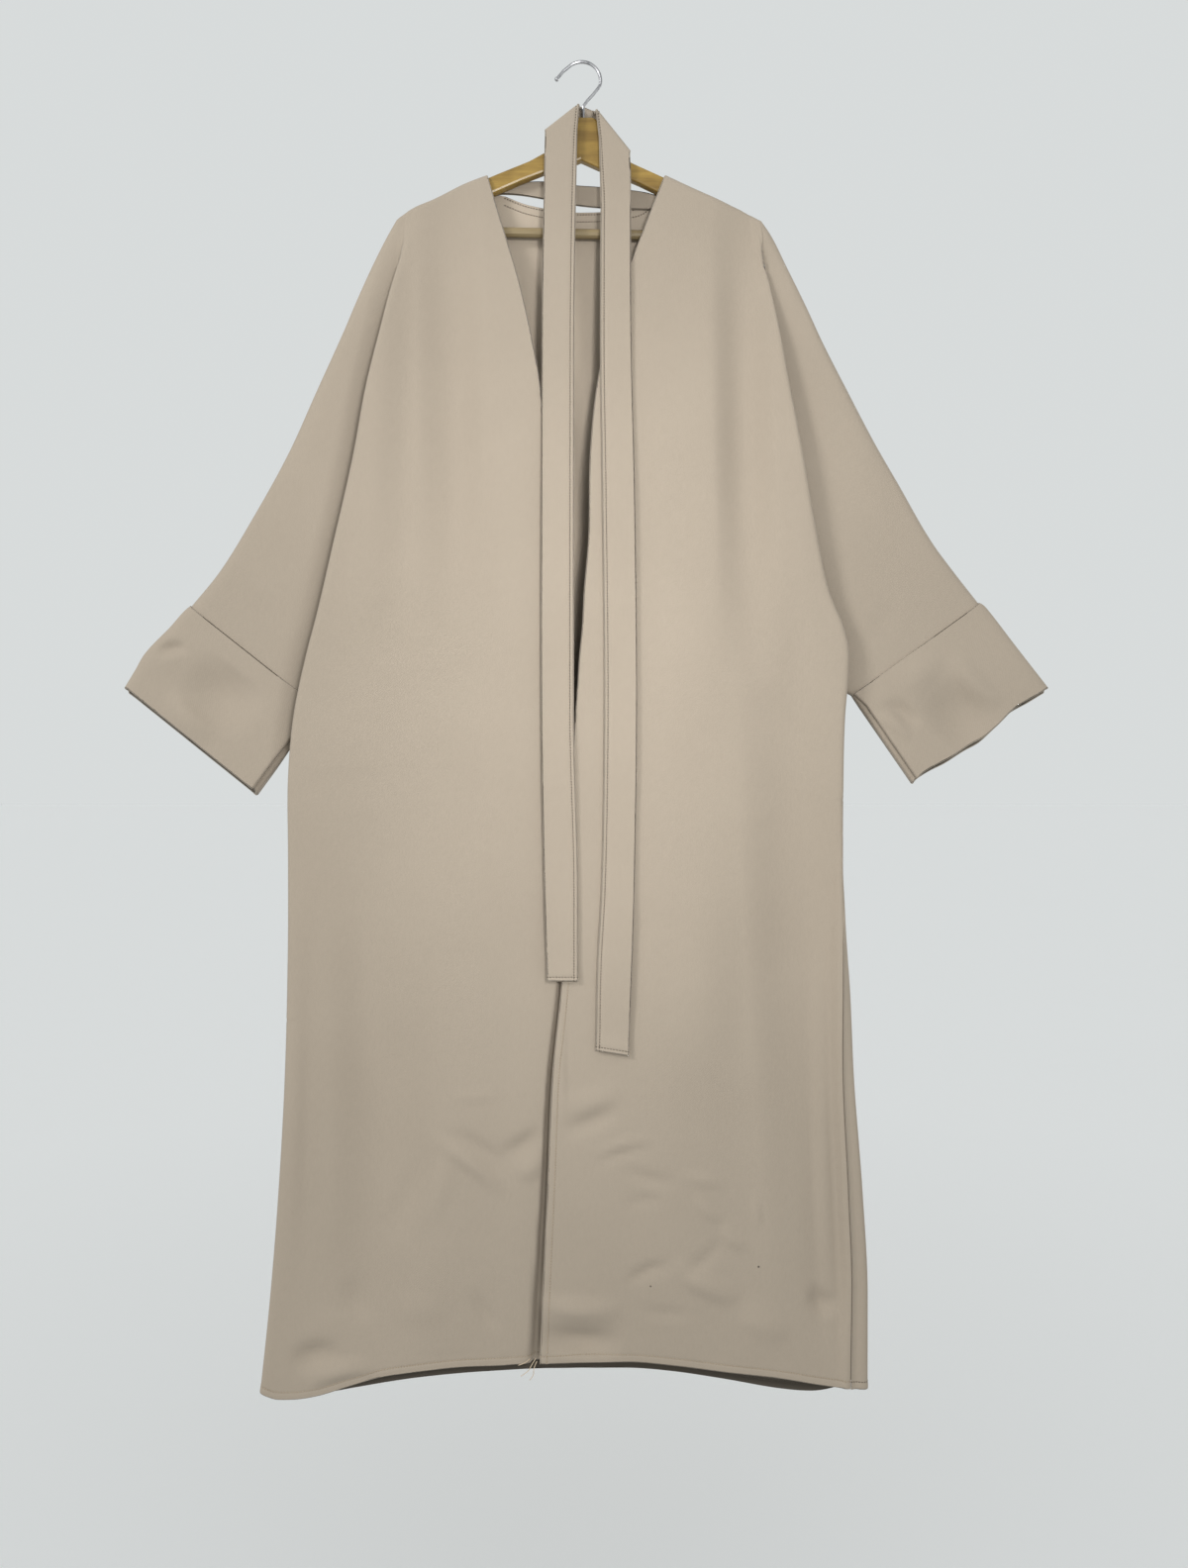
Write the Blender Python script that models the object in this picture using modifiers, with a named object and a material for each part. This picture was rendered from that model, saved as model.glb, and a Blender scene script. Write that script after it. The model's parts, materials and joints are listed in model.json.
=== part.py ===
"""Open-front abaya cloak with dolman sleeves, its loose belt and neck strap, hanging on a wooden hanger.

The origin is the point where the hook hangs, +Z is up and the front faces -Y. Left and right are
as seen from the front. Sizes are in millimetres. `out` is a distance outwards from the middle plane
x = 0, `drop` a distance below the origin, and a level is the drop of one row of cloth at its middle.
"""

import math

import bmesh
import bpy
import numpy as np

MM = 0.001
LEFT, RIGHT = -1, 1
FRONT, BACK = -1, 1

# Cloth
WALL = 1.6
CUFF_WALL = 2.4
BELT_WALL = 3.0
STRAP_WALL = 2.2
ARM_SEAM_GAP = 0.5  # between the pieces' middle surfaces, so that their walls' corners stay 0.3 apart
CUFF_SEAM_GAP = 0.6
SIDE_SEAM_GAP = 1.0  # the side seam lies in a bend, where the walls' corners need more room
LAY_GAP = 0.5
ARM_ROUND = 9.0  # height over which the cloth rounds the hanger's arm
FOLD_BEND = 14.0  # how far each way a corner of a row is rounded
TURN_WEIGHT = 40.0  # columns crowd where the cloth turns: millimetres of run counted per radian
SAME_PLACE = 1e-6  # points nearer than this are one
SHARP_ANGLE = math.radians(50)

# Levels of the rows
NECK_LEVEL = 132.0
UNDERARM_LEVEL = 690.0
HEM_LEVEL = 1497.0
SHOULDER_END = 420.0  # below this level the rows no longer follow the shoulder's slope
HEM_START = 1000.0  # below this level they begin to follow the hem's curve
UPPER_LEVELS = (132, 132.25, 134.5, 141, 165, 200, 245, 300, 365, 440, 520, 600, 650, 690)
LOWER_LEVELS = (720, 760, 825, 910, 1030, 1160, 1280, 1390, 1455, 1497)
BODY_COLUMNS = 20
SHOULDER_COLUMNS = 15
NECK_COLUMNS = (0, 0.38, 0.7, 0.88, 0.965, 0.99, 1)  # shares of the way out to the neck point
SLEEVE_COLUMNS = 8
SLEEVE_ROWS = 3
CUFF_ROWS = 4
FACE_POINTS = 24  # points that shape a row's run before its columns are spread along it
FINE_POINTS = 400
LEVEL_FADE = 1.5  # power with which the shoulder's slope fades down the rows, and the hem's curve grows

# Each side's body: the front's middle edge, the outermost fold, how far the cloth laps back behind that
# fold, the drop of the over-arm seam where the row ends, and the side seam's shift towards the back.
SIDE = ("level", "middle", "fold", "lap", "arm", "seam")
LEFT_SIDE = (
    (132, 108, 191, -8, 184, 0),
    (160, 100, 200, -4, 194, 0),
    (200, 88, 208, 5, 215, 0),
    (250, 73, 218, 13, 245, 0),
    (310, 55, 229, 20, 282, 0),
    (380, 46, 243, 28, 326, 0),
    (460, 41, 257, 36, 387, 0),
    (560, 35, 279, 44, 466, 0),
    (640, 30, 297, 50, 531, 0),
    (690, 27, 310, 52, 572, 0),
    (760, 22, 325, 46, 572, 0),
    (830, 19, 332, 34, 572, 3),
    (920, 15, 333, 18, 572, 8),
    (1040, 12, 334, 4, 572, 16),
    (1170, 12, 338, 0, 572, 24),
    (1290, 15, 346, 0, 572, 30),
    (1400, 18, 356, 0, 572, 34),
    (1497, 22, 367, 0, 572, 36),
)
RIGHT_SIDE = (
    (132, 98, 198, -8, 184, 0),
    (160, 87, 206, -4, 196, 0),
    (200, 72, 211, 4, 219, 0),
    (250, 53, 219, 12, 248, 0),
    (310, 34, 228, 19, 284, 0),
    (380, 19, 238, 26, 327, 0),
    (460, 11, 252, 32, 386, 0),
    (560, 9, 269, 38, 465, 0),
    (620, 4, 282, 42, 513, 0),
    (660, 2, 298, 45, 544, 0),
    (690, -1, 304, 44, 568, 0),
    (720, -3, 303, 40, 568, 0),
    (760, -6, 300, 26, 568, 0),
    (830, -9, 299, 4, 568, -2),
    (880, -11, 299, 0, 568, -13),
    (920, -13, 299, 0, 568, -20),
    (1000, -17, 303, 0, 568, -27),
    (1070, -22, 308, 0, 568, -31),
    (1170, -32, 313, 0, 568, -34),
    (1290, -37, 323, 0, 568, -36),
    (1400, -42, 329, 0, 568, -37),
    (1497, -46, 329, 0, 568, -38),
)

# How far each layer stands in front of, or behind, the middle plane y = 0.
DEPTH = ("level", "middle", "fold", "tuck", "valley", "sleeve")
FRONT_DEPTH = (
    (132, 10.6, 9, 8.6, 8.3, 8),
    (160, 11.5, 9.5, 8.8, 8.4, 8),
    (200, 14, 14, 10.5, 9, 7.5),
    (250, 17, 19, 13.5, 10.5, 8),
    (310, 20, 24, 17, 13, 9),
    (380, 24, 28, 20, 15, 10),
    (460, 28, 32, 22, 16.5, 11),
    (560, 32, 36, 25, 18, 12),
    (640, 34, 38, 26, 13, 12),
    (690, 34, 38, 26, 0, 12),
    (760, 34, 36, 24, 0, 12),
    (830, 33, 33, 20, 0, 12),
    (920, 32, 29, 16, 0, 12),
    (1040, 31, 26, 12, 0, 12),
    (1200, 30, 23, 10, 0, 12),
    (1350, 28, 21, 10, 0, 12),
    (1497, 26, 20, 10, 0, 12),
)
BACK_DEPTH = (
    (132, 10.6, 9, 8.6, 8.3, 8),
    (160, 11, 9.5, 8.7, 8.2, 7.8),
    (200, 13, 12, 9.6, 8.5, 7.5),
    (250, 15, 15, 11.5, 9.5, 7.5),
    (310, 17, 18, 13, 10.5, 8),
    (380, 19, 20, 14.5, 11.5, 8.5),
    (460, 21, 22, 15.5, 12, 9),
    (560, 23, 25, 17.5, 13.5, 9.5),
    (640, 24, 27, 18.5, 9, 10),
    (690, 25, 28, 19, 0, 10),
    (760, 25, 26, 16, 0, 10),
    (920, 23, 20, 10, 0, 10),
    (1040, 21, 17, 8, 0, 10),
    (1200, 18, 15, 6, 0, 10),
    (1497, 14, 14, 6, 0, 10),
)
# The right front laps over the left one, so its middle edge stands this much further forward.
OVERLAP = ("level", "forward")
OVERLAP_ROWS = ((132, 0), (310, 0), (460, 3), (560, 4), (700, 5), (920, 6.5), (1200, 8), (1497, 9))

# Over-arm seam from the shoulder's end to the cuff, and the shoulder line inside it.
ARM = ("drop", "out")
LEFT_ARM = (
    (184, 212), (204, 223.5), (239, 241), (279, 259), (317, 275),
    (386, 306), (455, 337), (524, 374.5), (593, 417), (633.5, 450),
)
RIGHT_ARM = (
    (184, 206), (198, 217), (241, 239), (286, 261), (332, 282),
    (376, 304), (443, 339), (490, 366), (559, 406), (593, 431), (630, 460),
)
TOP = ("out", "extra")
LEFT_TOP = ((108, 0), (137, 10.5), (172, 28), (198, 40.5), (212, 52))
RIGHT_TOP = ((98, 0), (130, 15), (172, 33.5), (193, 43), (206, 52))
# The back's neck edge from the middle out to the neck point.
LEFT_NECK = ((0, 36.5), (22, 35.5), (44, 31.5), (66, 26.5), (89, 17.5), (104, 12), (106.5, 6), (108, 0))
RIGHT_NECK = ((0, 36.5), (22, 36), (62, 31), (76, 25.5), (86, 14.5), (94, 10), (96.5, 5), (98, 0))

# How far the hem hangs below its level at the middle front, along the front and along the back.
HEM = ("out", "front", "back")
LEFT_HEM = (
    (0, 0, 25), (57, 0.5, 26), (92, 3, 28), (137, 5, 31), (195, 12, 37), (229, 17.5, 42),
    (264, 28, 48), (298, 39, 53), (322, 43.5, 53), (346, 44.6, 47), (368, 38, 38),
)
RIGHT_HEM = (
    (-50, -3, 25), (0, -4.5, 25), (52, -5, 25), (103, -0.5, 28.5), (168, 9, 38),
    (232, 18, 49), (270, 26, 52), (303, 31.5, 46), (329, 33.5, 33.5),
)

# Long soft folds: the levels where each starts and ends, how far out it lies there, its half width and
# its depth. A positive depth sinks into the garment and a negative one stands out.
LEFT_FOLDS = (
    (170, 700, 182, 205, 42, 4.5),
    (820, 1420, 262, 272, 60, 5),
    (900, 1480, 120, 150, 55, -3),
)
RIGHT_FOLDS = (
    (170, 720, 178, 190, 40, 4),
    (880, 1440, 190, 205, 60, 5),
    (1000, 1490, 90, 110, 60, -3),
)
BACK_FOLDS = (
    (180, 1500, 14, 20, 16, 3.5),
    (220, 900, 95, 120, 34, 4),
    (760, 1490, 205, 225, 55, 5),
)

# Underarm end of the cuff seam, and the cuff's opening: inner and outer corner.
CUFF = {
    LEFT: {"inner": (304, 749), "outer": (450, 633.5), "open_in": (377, 848.5), "open_out": (527, 728)},
    RIGHT: {"inner": (316, 734), "outer": (460, 630), "open_in": (387, 837), "open_out": (540, 727.5)},
}
UNDERARM_CURVE = (12.0, 22.0)  # corner that the curve from the underarm to the cuff bends towards
CUFF_FRONT, CUFF_BACK = 13.0, 11.0
LEFT_CUFF_BULGE = 5.0  # how far the left cuff's outer edge bows out
RIGHT_CUFF_WAVE = 1.8  # height of the wave along the right cuff's opening

SIDES = {
    LEFT: {"side": LEFT_SIDE, "arm": LEFT_ARM, "top": LEFT_TOP, "neck": LEFT_NECK, "hem": LEFT_HEM,
           "folds": LEFT_FOLDS, "neck_out": 108},
    RIGHT: {"side": RIGHT_SIDE, "arm": RIGHT_ARM, "top": RIGHT_TOP, "neck": RIGHT_NECK, "hem": RIGHT_HEM,
            "folds": RIGHT_FOLDS, "neck_out": 98},
}

# Belt, in three solids so that each is simple: each strand's edges down its length, and the lines over
# which it folds above the hanger's arms.
BELT = ("drop", "inner", "outer")
LEFT_STRAND = (
    (140, 4.6, 42), (200, 5.8, 43), (327, 7, 44.3), (540, 7, 44.3), (756, 7, 44.1), (958, 2.4, 40.5),
    (1059, 2.4, 37.2),
)
RIGHT_STRAND = (
    (170, 23, 58), (250, 22.5, 58), (327, 22.3, 58.4), (509, 24.5, 62), (734, 26.7, 64.2), (957, 23.3, 61.3),
    (1041, 18.9, 58.7), (1140, 17.2, 54.7),
)
STRAND_ROWS = 14
TURN_ROWS = 9
TURN_REACH = 9.0  # how far below its fold line a strand is flat again
STRANDS = {LEFT: {"rows": LEFT_STRAND, "slant": 0.0}, RIGHT: {"rows": RIGHT_STRAND, "slant": 6.0}}
BELT_GAP = 0.4  # between the hanging strands and the stretch over the hanger
SLANT_RISE = 40.0  # height over which a slanted free end comes level
LEFT_ABOVE = ((-3.5, 84), (-41.5, 112))  # the strand's edges where it comes off its fold
RIGHT_ABOVE = ((21, 94), (58, 136))
LEFT_FOLD_LINE = ((-1.2, 51.3), (-41, 82.5))
RIGHT_FOLD_LINE = ((17.5, 57.2), (57, 106.5))
HANG = (0, 1)
LEFT_BAND, RIGHT_BAND = (0.968, 0.248), (-0.972, -0.236)
BELT_FRONT, BELT_BACK = 13.5, 11.0

# Neck strap: its upper and lower edge along its run.
STRAP = ("x", "upper", "lower")
STRAP_ROWS = (
    (-98, 142.5, 149.5), (-90, 140.5, 148.6), (-71, 135, 149.7), (-43, 133.2, 154.3), (-5, 137.8, 161.7),
    (20, 139.5, 164.4), (60, 143.5, 166.2), (80, 147, 166.6), (89, 150, 164),
)
STRAP_DEPTH = 7.5
STRAP_COLUMNS = 14

# Hanger
HANGER_X = 2.9
HANGER_ROLL = math.radians(1.2)
HANGER_HALF = 6.0
HANGER_EDGE = 2.5
HANGER_TOP_ROWS = (  # out and drop, from the top of the neck to the arm's end
    (0, 65), (12, 65), (18, 68), (25, 77), (33, 92), (42, 106.5), (60, 117), (95, 132),
    (113, 140), (140, 151), (175, 168), (198, 180),
)
HANGER_BOTTOM_ROWS = (  # from the arm's end, round the cheek that holds the bar, back to the middle
    (203, 185), (204.5, 196), (201, 206), (194, 210), (176, 210), (170.5, 206), (170.5, 191),
    (140, 175), (105, 157), (68, 140), (42, 129.5), (20, 123), (0, 114.5),
)
BAR_DROP = 198.0
BAR_RADIUS = 5.5
BAR_END = 170.1
WIRE_RADIUS = 1.9
HOOK_CENTRE = (1.1, 20.2)
HOOK_RADIUS = 22.1
HOOK_STEM = ((2.9, 64.6), (2.9, 50), (8, 43), (15, 35.5), (20.5, 28.5))
HOOK_TURN = (-12, 134)  # degrees of the round top's start and end
HOOK_TURN_POINTS = 19
HOOK_TIP = ((-20.1, 9), (-27.7, 18.2))
HOOK_BALL = 2.6
BALL_SEGMENTS, BALL_RINGS = 12, 8

CLOTH_COLOUR = (0.55, 0.45, 0.35, 1)
WOOD_COLOUR = (0.45, 0.25, 0.07, 1)
BAR_COLOUR = (0.60, 0.45, 0.22, 1)
STEEL_COLOUR = (0.62, 0.62, 0.64, 1)


def curve(rows, names, name, at):
    """Value of the named column at a place, on a smooth curve through the rows."""
    keys = np.array([row[0] for row in rows], float)
    values = np.array([row[names.index(name)] for row in rows], float)
    if at <= keys[0] or len(keys) == 2:
        return float(np.interp(at, keys, values))
    if at >= keys[-1]:
        return float(values[-1])
    steps = np.diff(values) / np.diff(keys)
    slopes = np.concatenate([[steps[0]], (steps[1:] + steps[:-1]) / 2, [steps[-1]]])
    turning = np.concatenate([[False], steps[1:] * steps[:-1] <= 0, [False]])
    slopes[turning] = 0
    i = int(np.searchsorted(keys, at, side="right")) - 1
    width = keys[i + 1] - keys[i]
    t = (at - keys[i]) / width
    ease = t * t * (3 - 2 * t)
    pull = t * (1 - t) * width
    return float(
        values[i] + (values[i + 1] - values[i]) * ease + pull * ((1 - t) * slopes[i] - t * slopes[i + 1])
    )


def quarter(share):
    """Height of a quarter circle of radius 1 at a share of its run."""
    share = min(max(share, 0.0), 1.0)
    return math.sqrt(1 - (1 - share) ** 2)


def rounded(points, bend, steps=6):
    """The path through the points with each corner rounded over at most `bend` each way."""
    points = [np.array(point, float) for point in points]
    path = [points[0]]
    for before, corner, after in zip(points, points[1:], points[2:]):
        run_in, run_out = before - corner, after - corner
        length_in, length_out = np.linalg.norm(run_in), np.linalg.norm(run_out)
        if min(length_in, length_out) < SAME_PLACE:
            continue
        start = corner + run_in * min(bend / length_in, 0.5)
        end = corner + run_out * min(bend / length_out, 0.5)
        for t in np.linspace(0, 1, steps + 1):
            path.append((1 - t) ** 2 * start + 2 * t * (1 - t) * corner + t * t * end)
    path.append(points[-1])
    return np.array(path)


def lengths(path):
    """Running length along the path."""
    return np.concatenate([[0], np.cumsum(np.linalg.norm(np.diff(path, axis=0), axis=1))])


def along(path, places):
    """Points of the path at these running lengths."""
    run = lengths(path)
    return np.stack([np.interp(places, run, path[:, axis]) for axis in range(3)], axis=1)


def cut(path, start, end):
    """The stretch of the path between two running lengths."""
    run = lengths(path)
    inside = path[(run > start + SAME_PLACE) & (run < end - SAME_PLACE)]
    return np.concatenate([along(path, [start]), inside, along(path, [end])])


def spread(path, count):
    """count + 1 points along the path, closer together where it turns."""
    fine = along(path, np.linspace(0, lengths(path)[-1], FINE_POINTS))
    runs = np.diff(fine, axis=0)
    measure = np.linalg.norm(runs, axis=1)
    headings = runs / np.maximum(measure, SAME_PLACE)[:, None]
    turns = np.arccos(np.clip((headings[1:] * headings[:-1]).sum(axis=1), -1, 1))
    measure[1:] += TURN_WEIGHT * turns / 2
    measure[:-1] += TURN_WEIGHT * turns / 2
    total = np.concatenate([[0], np.cumsum(measure)])
    places = np.linspace(0, total[-1], count + 1)
    return np.stack([np.interp(places, total, fine[:, axis]) for axis in range(3)], axis=1)


def fold_depth(folds, level, out):
    """How far the long folds sink the cloth at a place."""
    total = 0.0
    for start, end, out_start, out_end, half_width, depth in folds:
        share = (level - start) / (end - start)
        if not 0 < share < 1:
            continue
        across = (out - out_start - (out_end - out_start) * share) / half_width
        if abs(across) < 1:
            total += depth * (1 - across**2) ** 2 * math.sin(math.pi * share) ** 0.5
    return total


def drop_at(side, level, out, back):
    """Drop of a point of a row. `back` is 0 on the front, 1 on the back and between them at the side."""
    shape = SIDES[side]
    fade = max(1 - (level - NECK_LEVEL) / (SHOULDER_END - NECK_LEVEL), 0.0) ** LEVEL_FADE
    extra = curve(shape["top"], TOP, "extra", out) if out > shape["neck_out"] else 0.0
    if back > 0.5 and out < shape["neck_out"]:
        extra = curve(shape["neck"], TOP, "extra", max(out, 0.0))
    grow = max((level - HEM_START) / (HEM_LEVEL - HEM_START), 0.0) ** LEVEL_FADE
    front_hem = curve(shape["hem"], HEM, "front", out)
    back_hem = curve(shape["hem"], HEM, "back", out)
    return level + extra * fade + grow * (front_hem + (back_hem - front_hem) * back)


def depth_at(face, level, name):
    """Signed y of a layer."""
    rows = FRONT_DEPTH if face == FRONT else BACK_DEPTH
    return face * curve(rows, DEPTH, name, level)


def body_face(face, side, level, places):
    """Points of the body's outer layer at these distances out."""
    folds = SIDES[side]["folds"] if face == FRONT else BACK_FOLDS
    middle, fold = depth_at(face, level, "middle"), depth_at(face, level, "fold")
    if face == FRONT and side == RIGHT:
        middle -= curve(OVERLAP_ROWS, OVERLAP, "forward", level)
    reach = curve(SIDES[side]["side"], SIDE, "fold", level)
    inner = curve(SIDES[side]["side"], SIDE, "middle", level) if face == FRONT else 0.0
    points = []
    for out in places:
        share = min(max((out - inner) / (reach - inner), 0.0), 1.0)
        y = middle + (fold - middle) * share**2 - face * fold_depth(folds, level, out)
        points.append((out, y, drop_at(side, level, out, float(face == BACK))))
    return points


def neck_points(side, level):
    """The back's points from its middle out to just inside the neck point."""
    return np.array(body_face(BACK, side, level, SIDES[side]["neck_out"] * np.array(NECK_COLUMNS[:-1])))


def row_places(side, level):
    """The fold's and the valley's distance out."""
    fold = curve(SIDES[side]["side"], SIDE, "fold", level)
    return fold, fold - curve(SIDES[side]["side"], SIDE, "lap", level)


def body_path(face, side, level, start):
    """A row's path over the body, from `start` out to the fold, in behind it and to the valley's middle."""
    fold, valley = row_places(side, level)
    fold_y, tuck_y, valley_y = (depth_at(face, level, name) for name in ("fold", "tuck", "valley"))
    if level <= UNDERARM_LEVEL:
        valley_y = face * max(abs(valley_y), SIDE_SEAM_GAP / 2)
    back = float(face == BACK)
    drop = drop_at(side, level, fold, back)
    inner_drop = drop_at(side, level, valley, back)
    seam_drop = inner_drop if level < UNDERARM_LEVEL else drop_at(side, level, valley, 0.5)
    points = body_face(face, side, level, np.linspace(start, fold - FOLD_BEND, FACE_POINTS))
    points += [(fold, fold_y, drop), (fold, tuck_y, drop)]
    points += [(valley, tuck_y, inner_drop), (valley, valley_y, seam_drop)]
    return rounded(points, FOLD_BEND)


def sleeve_path(face, start, end, depth):
    """A row's path over one face of a sleeve, from its inner end to the over-arm seam."""
    (inner_out, inner_y, inner_drop), (outer_out, outer_drop) = start, end
    points = [start, (inner_out, face * depth, inner_drop), (outer_out, face * depth, outer_drop)]
    points.append((outer_out, face * ARM_SEAM_GAP / 2, outer_drop))
    return rounded(points, FOLD_BEND)


def over_arm(side, drop):
    """Point of the over-arm seam at a drop."""
    return curve(SIDES[side]["arm"], ARM, "out", drop), drop


def flatten_top(points, face, side, level):
    """Draws the top rows in to the seam over the hanger's arm."""
    neck_out = SIDES[side]["neck_out"]
    for point in points:
        below = point[2] if face == BACK and point[0] < neck_out else level
        ramp = quarter((below - NECK_LEVEL) / ARM_ROUND)
        point[1] = face * max(abs(point[1]) * ramp, ARM_SEAM_GAP / 2)
    return points


def upper_row(face, side, level):
    """One row above the underarm: the body's points up to the valley, and the sleeve's from there on."""
    shape = SIDES[side]
    if face == FRONT:
        start = curve(shape["side"], SIDE, "middle", level)
        body = spread(body_path(face, side, level, start), BODY_COLUMNS)
    else:
        outer = spread(body_path(face, side, level, shape["neck_out"]), SHOULDER_COLUMNS)
        body = np.concatenate([neck_points(side, level), outer])
    depth = abs(depth_at(face, level, "sleeve"))
    end = over_arm(side, curve(shape["side"], SIDE, "arm", level))
    sleeve = spread(sleeve_path(face, tuple(body[-1]), end, depth), SLEEVE_COLUMNS)
    return flatten_top(body, face, side, level), flatten_top(sleeve, face, side, level)


def tube_row(side, level):
    """One row below the underarm: the front's points up to the side seam, and the back's up to it."""
    shape = SIDES[side]
    start = curve(shape["side"], SIDE, "middle", level)
    front = body_path(FRONT, side, level, start)
    back = body_path(BACK, side, level, shape["neck_out"])
    ring = np.concatenate([front, back[::-1]])
    seam = lengths(front)[-1] + curve(shape["side"], SIDE, "seam", level)
    front = spread(cut(ring, 0, seam - SIDE_SEAM_GAP / 2), BODY_COLUMNS)
    outer = spread(cut(ring, seam + SIDE_SEAM_GAP / 2, lengths(ring)[-1])[::-1], SHOULDER_COLUMNS)
    return front, np.concatenate([neck_points(side, level), outer])


def sleeve_row(face, side, share):
    """One row of the sleeve beyond the underarm, `share` of the way from there to the cuff seam."""
    shape, cuff = SIDES[side], CUFF[side]
    _, valley = row_places(side, UNDERARM_LEVEL)
    start = np.array((valley, UNDERARM_LEVEL))
    bend = start + UNDERARM_CURVE
    inner = (1 - share) ** 2 * start + 2 * share * (1 - share) * bend + share**2 * np.array(cuff["inner"])
    arm = curve(shape["side"], SIDE, "arm", UNDERARM_LEVEL)
    outer = over_arm(side, arm + (cuff["outer"][1] - arm) * share)
    depth = abs(depth_at(face, UNDERARM_LEVEL, "sleeve"))
    path = sleeve_path(face, (inner[0], face * SIDE_SEAM_GAP / 2, inner[1]), outer, depth)
    return spread(path, SLEEVE_COLUMNS)


def to_world(side, point):
    out, y, drop = point
    return (side * out * MM, y * MM, -drop * MM)


def material(name, colour, roughness, metallic=0.0):
    made = bpy.data.materials.new(name)
    made.use_nodes = True
    made.diffuse_color = colour
    shader = made.node_tree.nodes["Principled BSDF"]
    shader.inputs["Base Color"].default_value = colour
    shader.inputs["Roughness"].default_value = roughness
    shader.inputs["Metallic"].default_value = metallic
    return made


def add_mesh(name, mesh, look, collection):
    mesh.materials.append(look)
    mesh.shade_smooth()
    mesh.set_sharp_from_angle(angle=SHARP_ANGLE)
    made = bpy.data.objects.new(name, mesh)
    collection.objects.link(made)
    return made


def add_cloth(name, build, wall, look, collection):
    """An open surface made by `build` into a bmesh, given a wall of even thickness."""
    surface = bmesh.new()
    build(surface)
    bmesh.ops.recalc_face_normals(surface, faces=surface.faces)
    mesh = bpy.data.meshes.new(name)
    surface.to_mesh(mesh)
    surface.free()
    made = add_mesh(name, mesh, look, collection)
    solidify = made.modifiers.new("Wall", "SOLIDIFY")
    solidify.thickness = wall * MM
    solidify.offset = 0
    solidify.use_even_offset = False
    return made


def knit(surface, rows, closed=False):
    """Quads between neighbouring rows of vertices."""
    for upper, lower in zip(rows, rows[1:]):
        columns = len(upper) if closed else len(upper) - 1
        for i in range(columns):
            j = (i + 1) % len(upper)
            surface.faces.new((upper[i], upper[j], lower[j], lower[i]))


def vertices(surface, side, points):
    return [surface.verts.new(to_world(side, point)) for point in points]


def sleeve_rows(surface, face, side, valleys, upper):
    """Rows of a sleeve's face. Its inner column down to the underarm is the body's valley column."""
    rows = []
    for valley, (_, sleeve) in zip(valleys, upper):
        rows.append([valley] + vertices(surface, side, sleeve[1:]))
    for i in range(1, SLEEVE_ROWS + 1):
        rows.append(vertices(surface, side, sleeve_row(face, side, i / SLEEVE_ROWS)))
    return rows


def front_surface(side):
    def build(surface):
        upper = [upper_row(FRONT, side, level) for level in UPPER_LEVELS]
        rows = [vertices(surface, side, body) for body, _ in upper]
        valleys = [row[-1] for row in rows]
        rows += [vertices(surface, side, tube_row(side, level)[0]) for level in LOWER_LEVELS]
        knit(surface, rows)
        knit(surface, sleeve_rows(surface, FRONT, side, valleys, upper))

    return build


def back_surface(surface):
    halves = {side: [upper_row(BACK, side, level) for level in UPPER_LEVELS] for side in (LEFT, RIGHT)}
    rows = []
    for i in range(len(UPPER_LEVELS)):
        left = vertices(surface, LEFT, halves[LEFT][i][0])
        right = vertices(surface, RIGHT, halves[RIGHT][i][0][1:])
        rows.append(left[::-1] + right)
    valleys = {LEFT: [row[0] for row in rows], RIGHT: [row[-1] for row in rows]}
    for level in LOWER_LEVELS:
        left = vertices(surface, LEFT, tube_row(LEFT, level)[1])
        right = vertices(surface, RIGHT, tube_row(RIGHT, level)[1][1:])
        rows.append(left[::-1] + right)
    knit(surface, rows)
    for side in (LEFT, RIGHT):
        knit(surface, sleeve_rows(surface, BACK, side, valleys[side], halves[side]))


def cuff_ring(side, share):
    """One ring of a cuff, `share` of the way from its seam to its opening."""
    seam_in, seam_out, open_in, open_out = (
        np.array(CUFF[side][name], float) for name in ("inner", "outer", "open_in", "open_out")
    )
    axis = (open_in - seam_in) / np.linalg.norm(open_in - seam_in)
    gap = axis * CUFF_SEAM_GAP * (1 - share)
    inner = seam_in + (open_in - seam_in) * share + gap
    outer = seam_out + (open_out - seam_out) * share + gap
    if side == LEFT:
        outer += np.array((axis[1], -axis[0])) * LEFT_CUFF_BULGE * math.sin(math.pi * share)
    halves = []
    for face, depth in ((FRONT, CUFF_FRONT), (BACK, CUFF_BACK)):
        path = sleeve_path(face, (inner[0], 0.0, inner[1]), tuple(outer), depth)
        path[-1, 1] = 0.0
        halves.append(spread(path, SLEEVE_COLUMNS + 1))
    ring = np.concatenate([halves[0][:-1], halves[1][:0:-1]])
    if side == RIGHT:
        places = (ring[:, 0] - inner[0]) / (outer[0] - inner[0])
        ring[:, 2] += RIGHT_CUFF_WAVE * share**2 * np.sin(2 * math.pi * places)
    return ring


def cuff_surface(side):
    """A tube from the cuff seam to its opening, flat enough to lie beside the body."""

    def build(surface):
        rows = [vertices(surface, side, cuff_ring(side, share)) for share in np.linspace(0, 1, CUFF_ROWS + 1)]
        knit(surface, rows, closed=True)

    return build


def belt_y(drop):
    """The belt lies on the right front's middle, a wall's thickness clear."""
    level = min(max(drop, NECK_LEVEL), HEM_LEVEL)
    front = curve(FRONT_DEPTH, DEPTH, "middle", level) + curve(OVERLAP_ROWS, OVERLAP, "forward", level)
    return -max(front + WALL / 2 + LAY_GAP + BELT_WALL / 2, BELT_FRONT)


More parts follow.
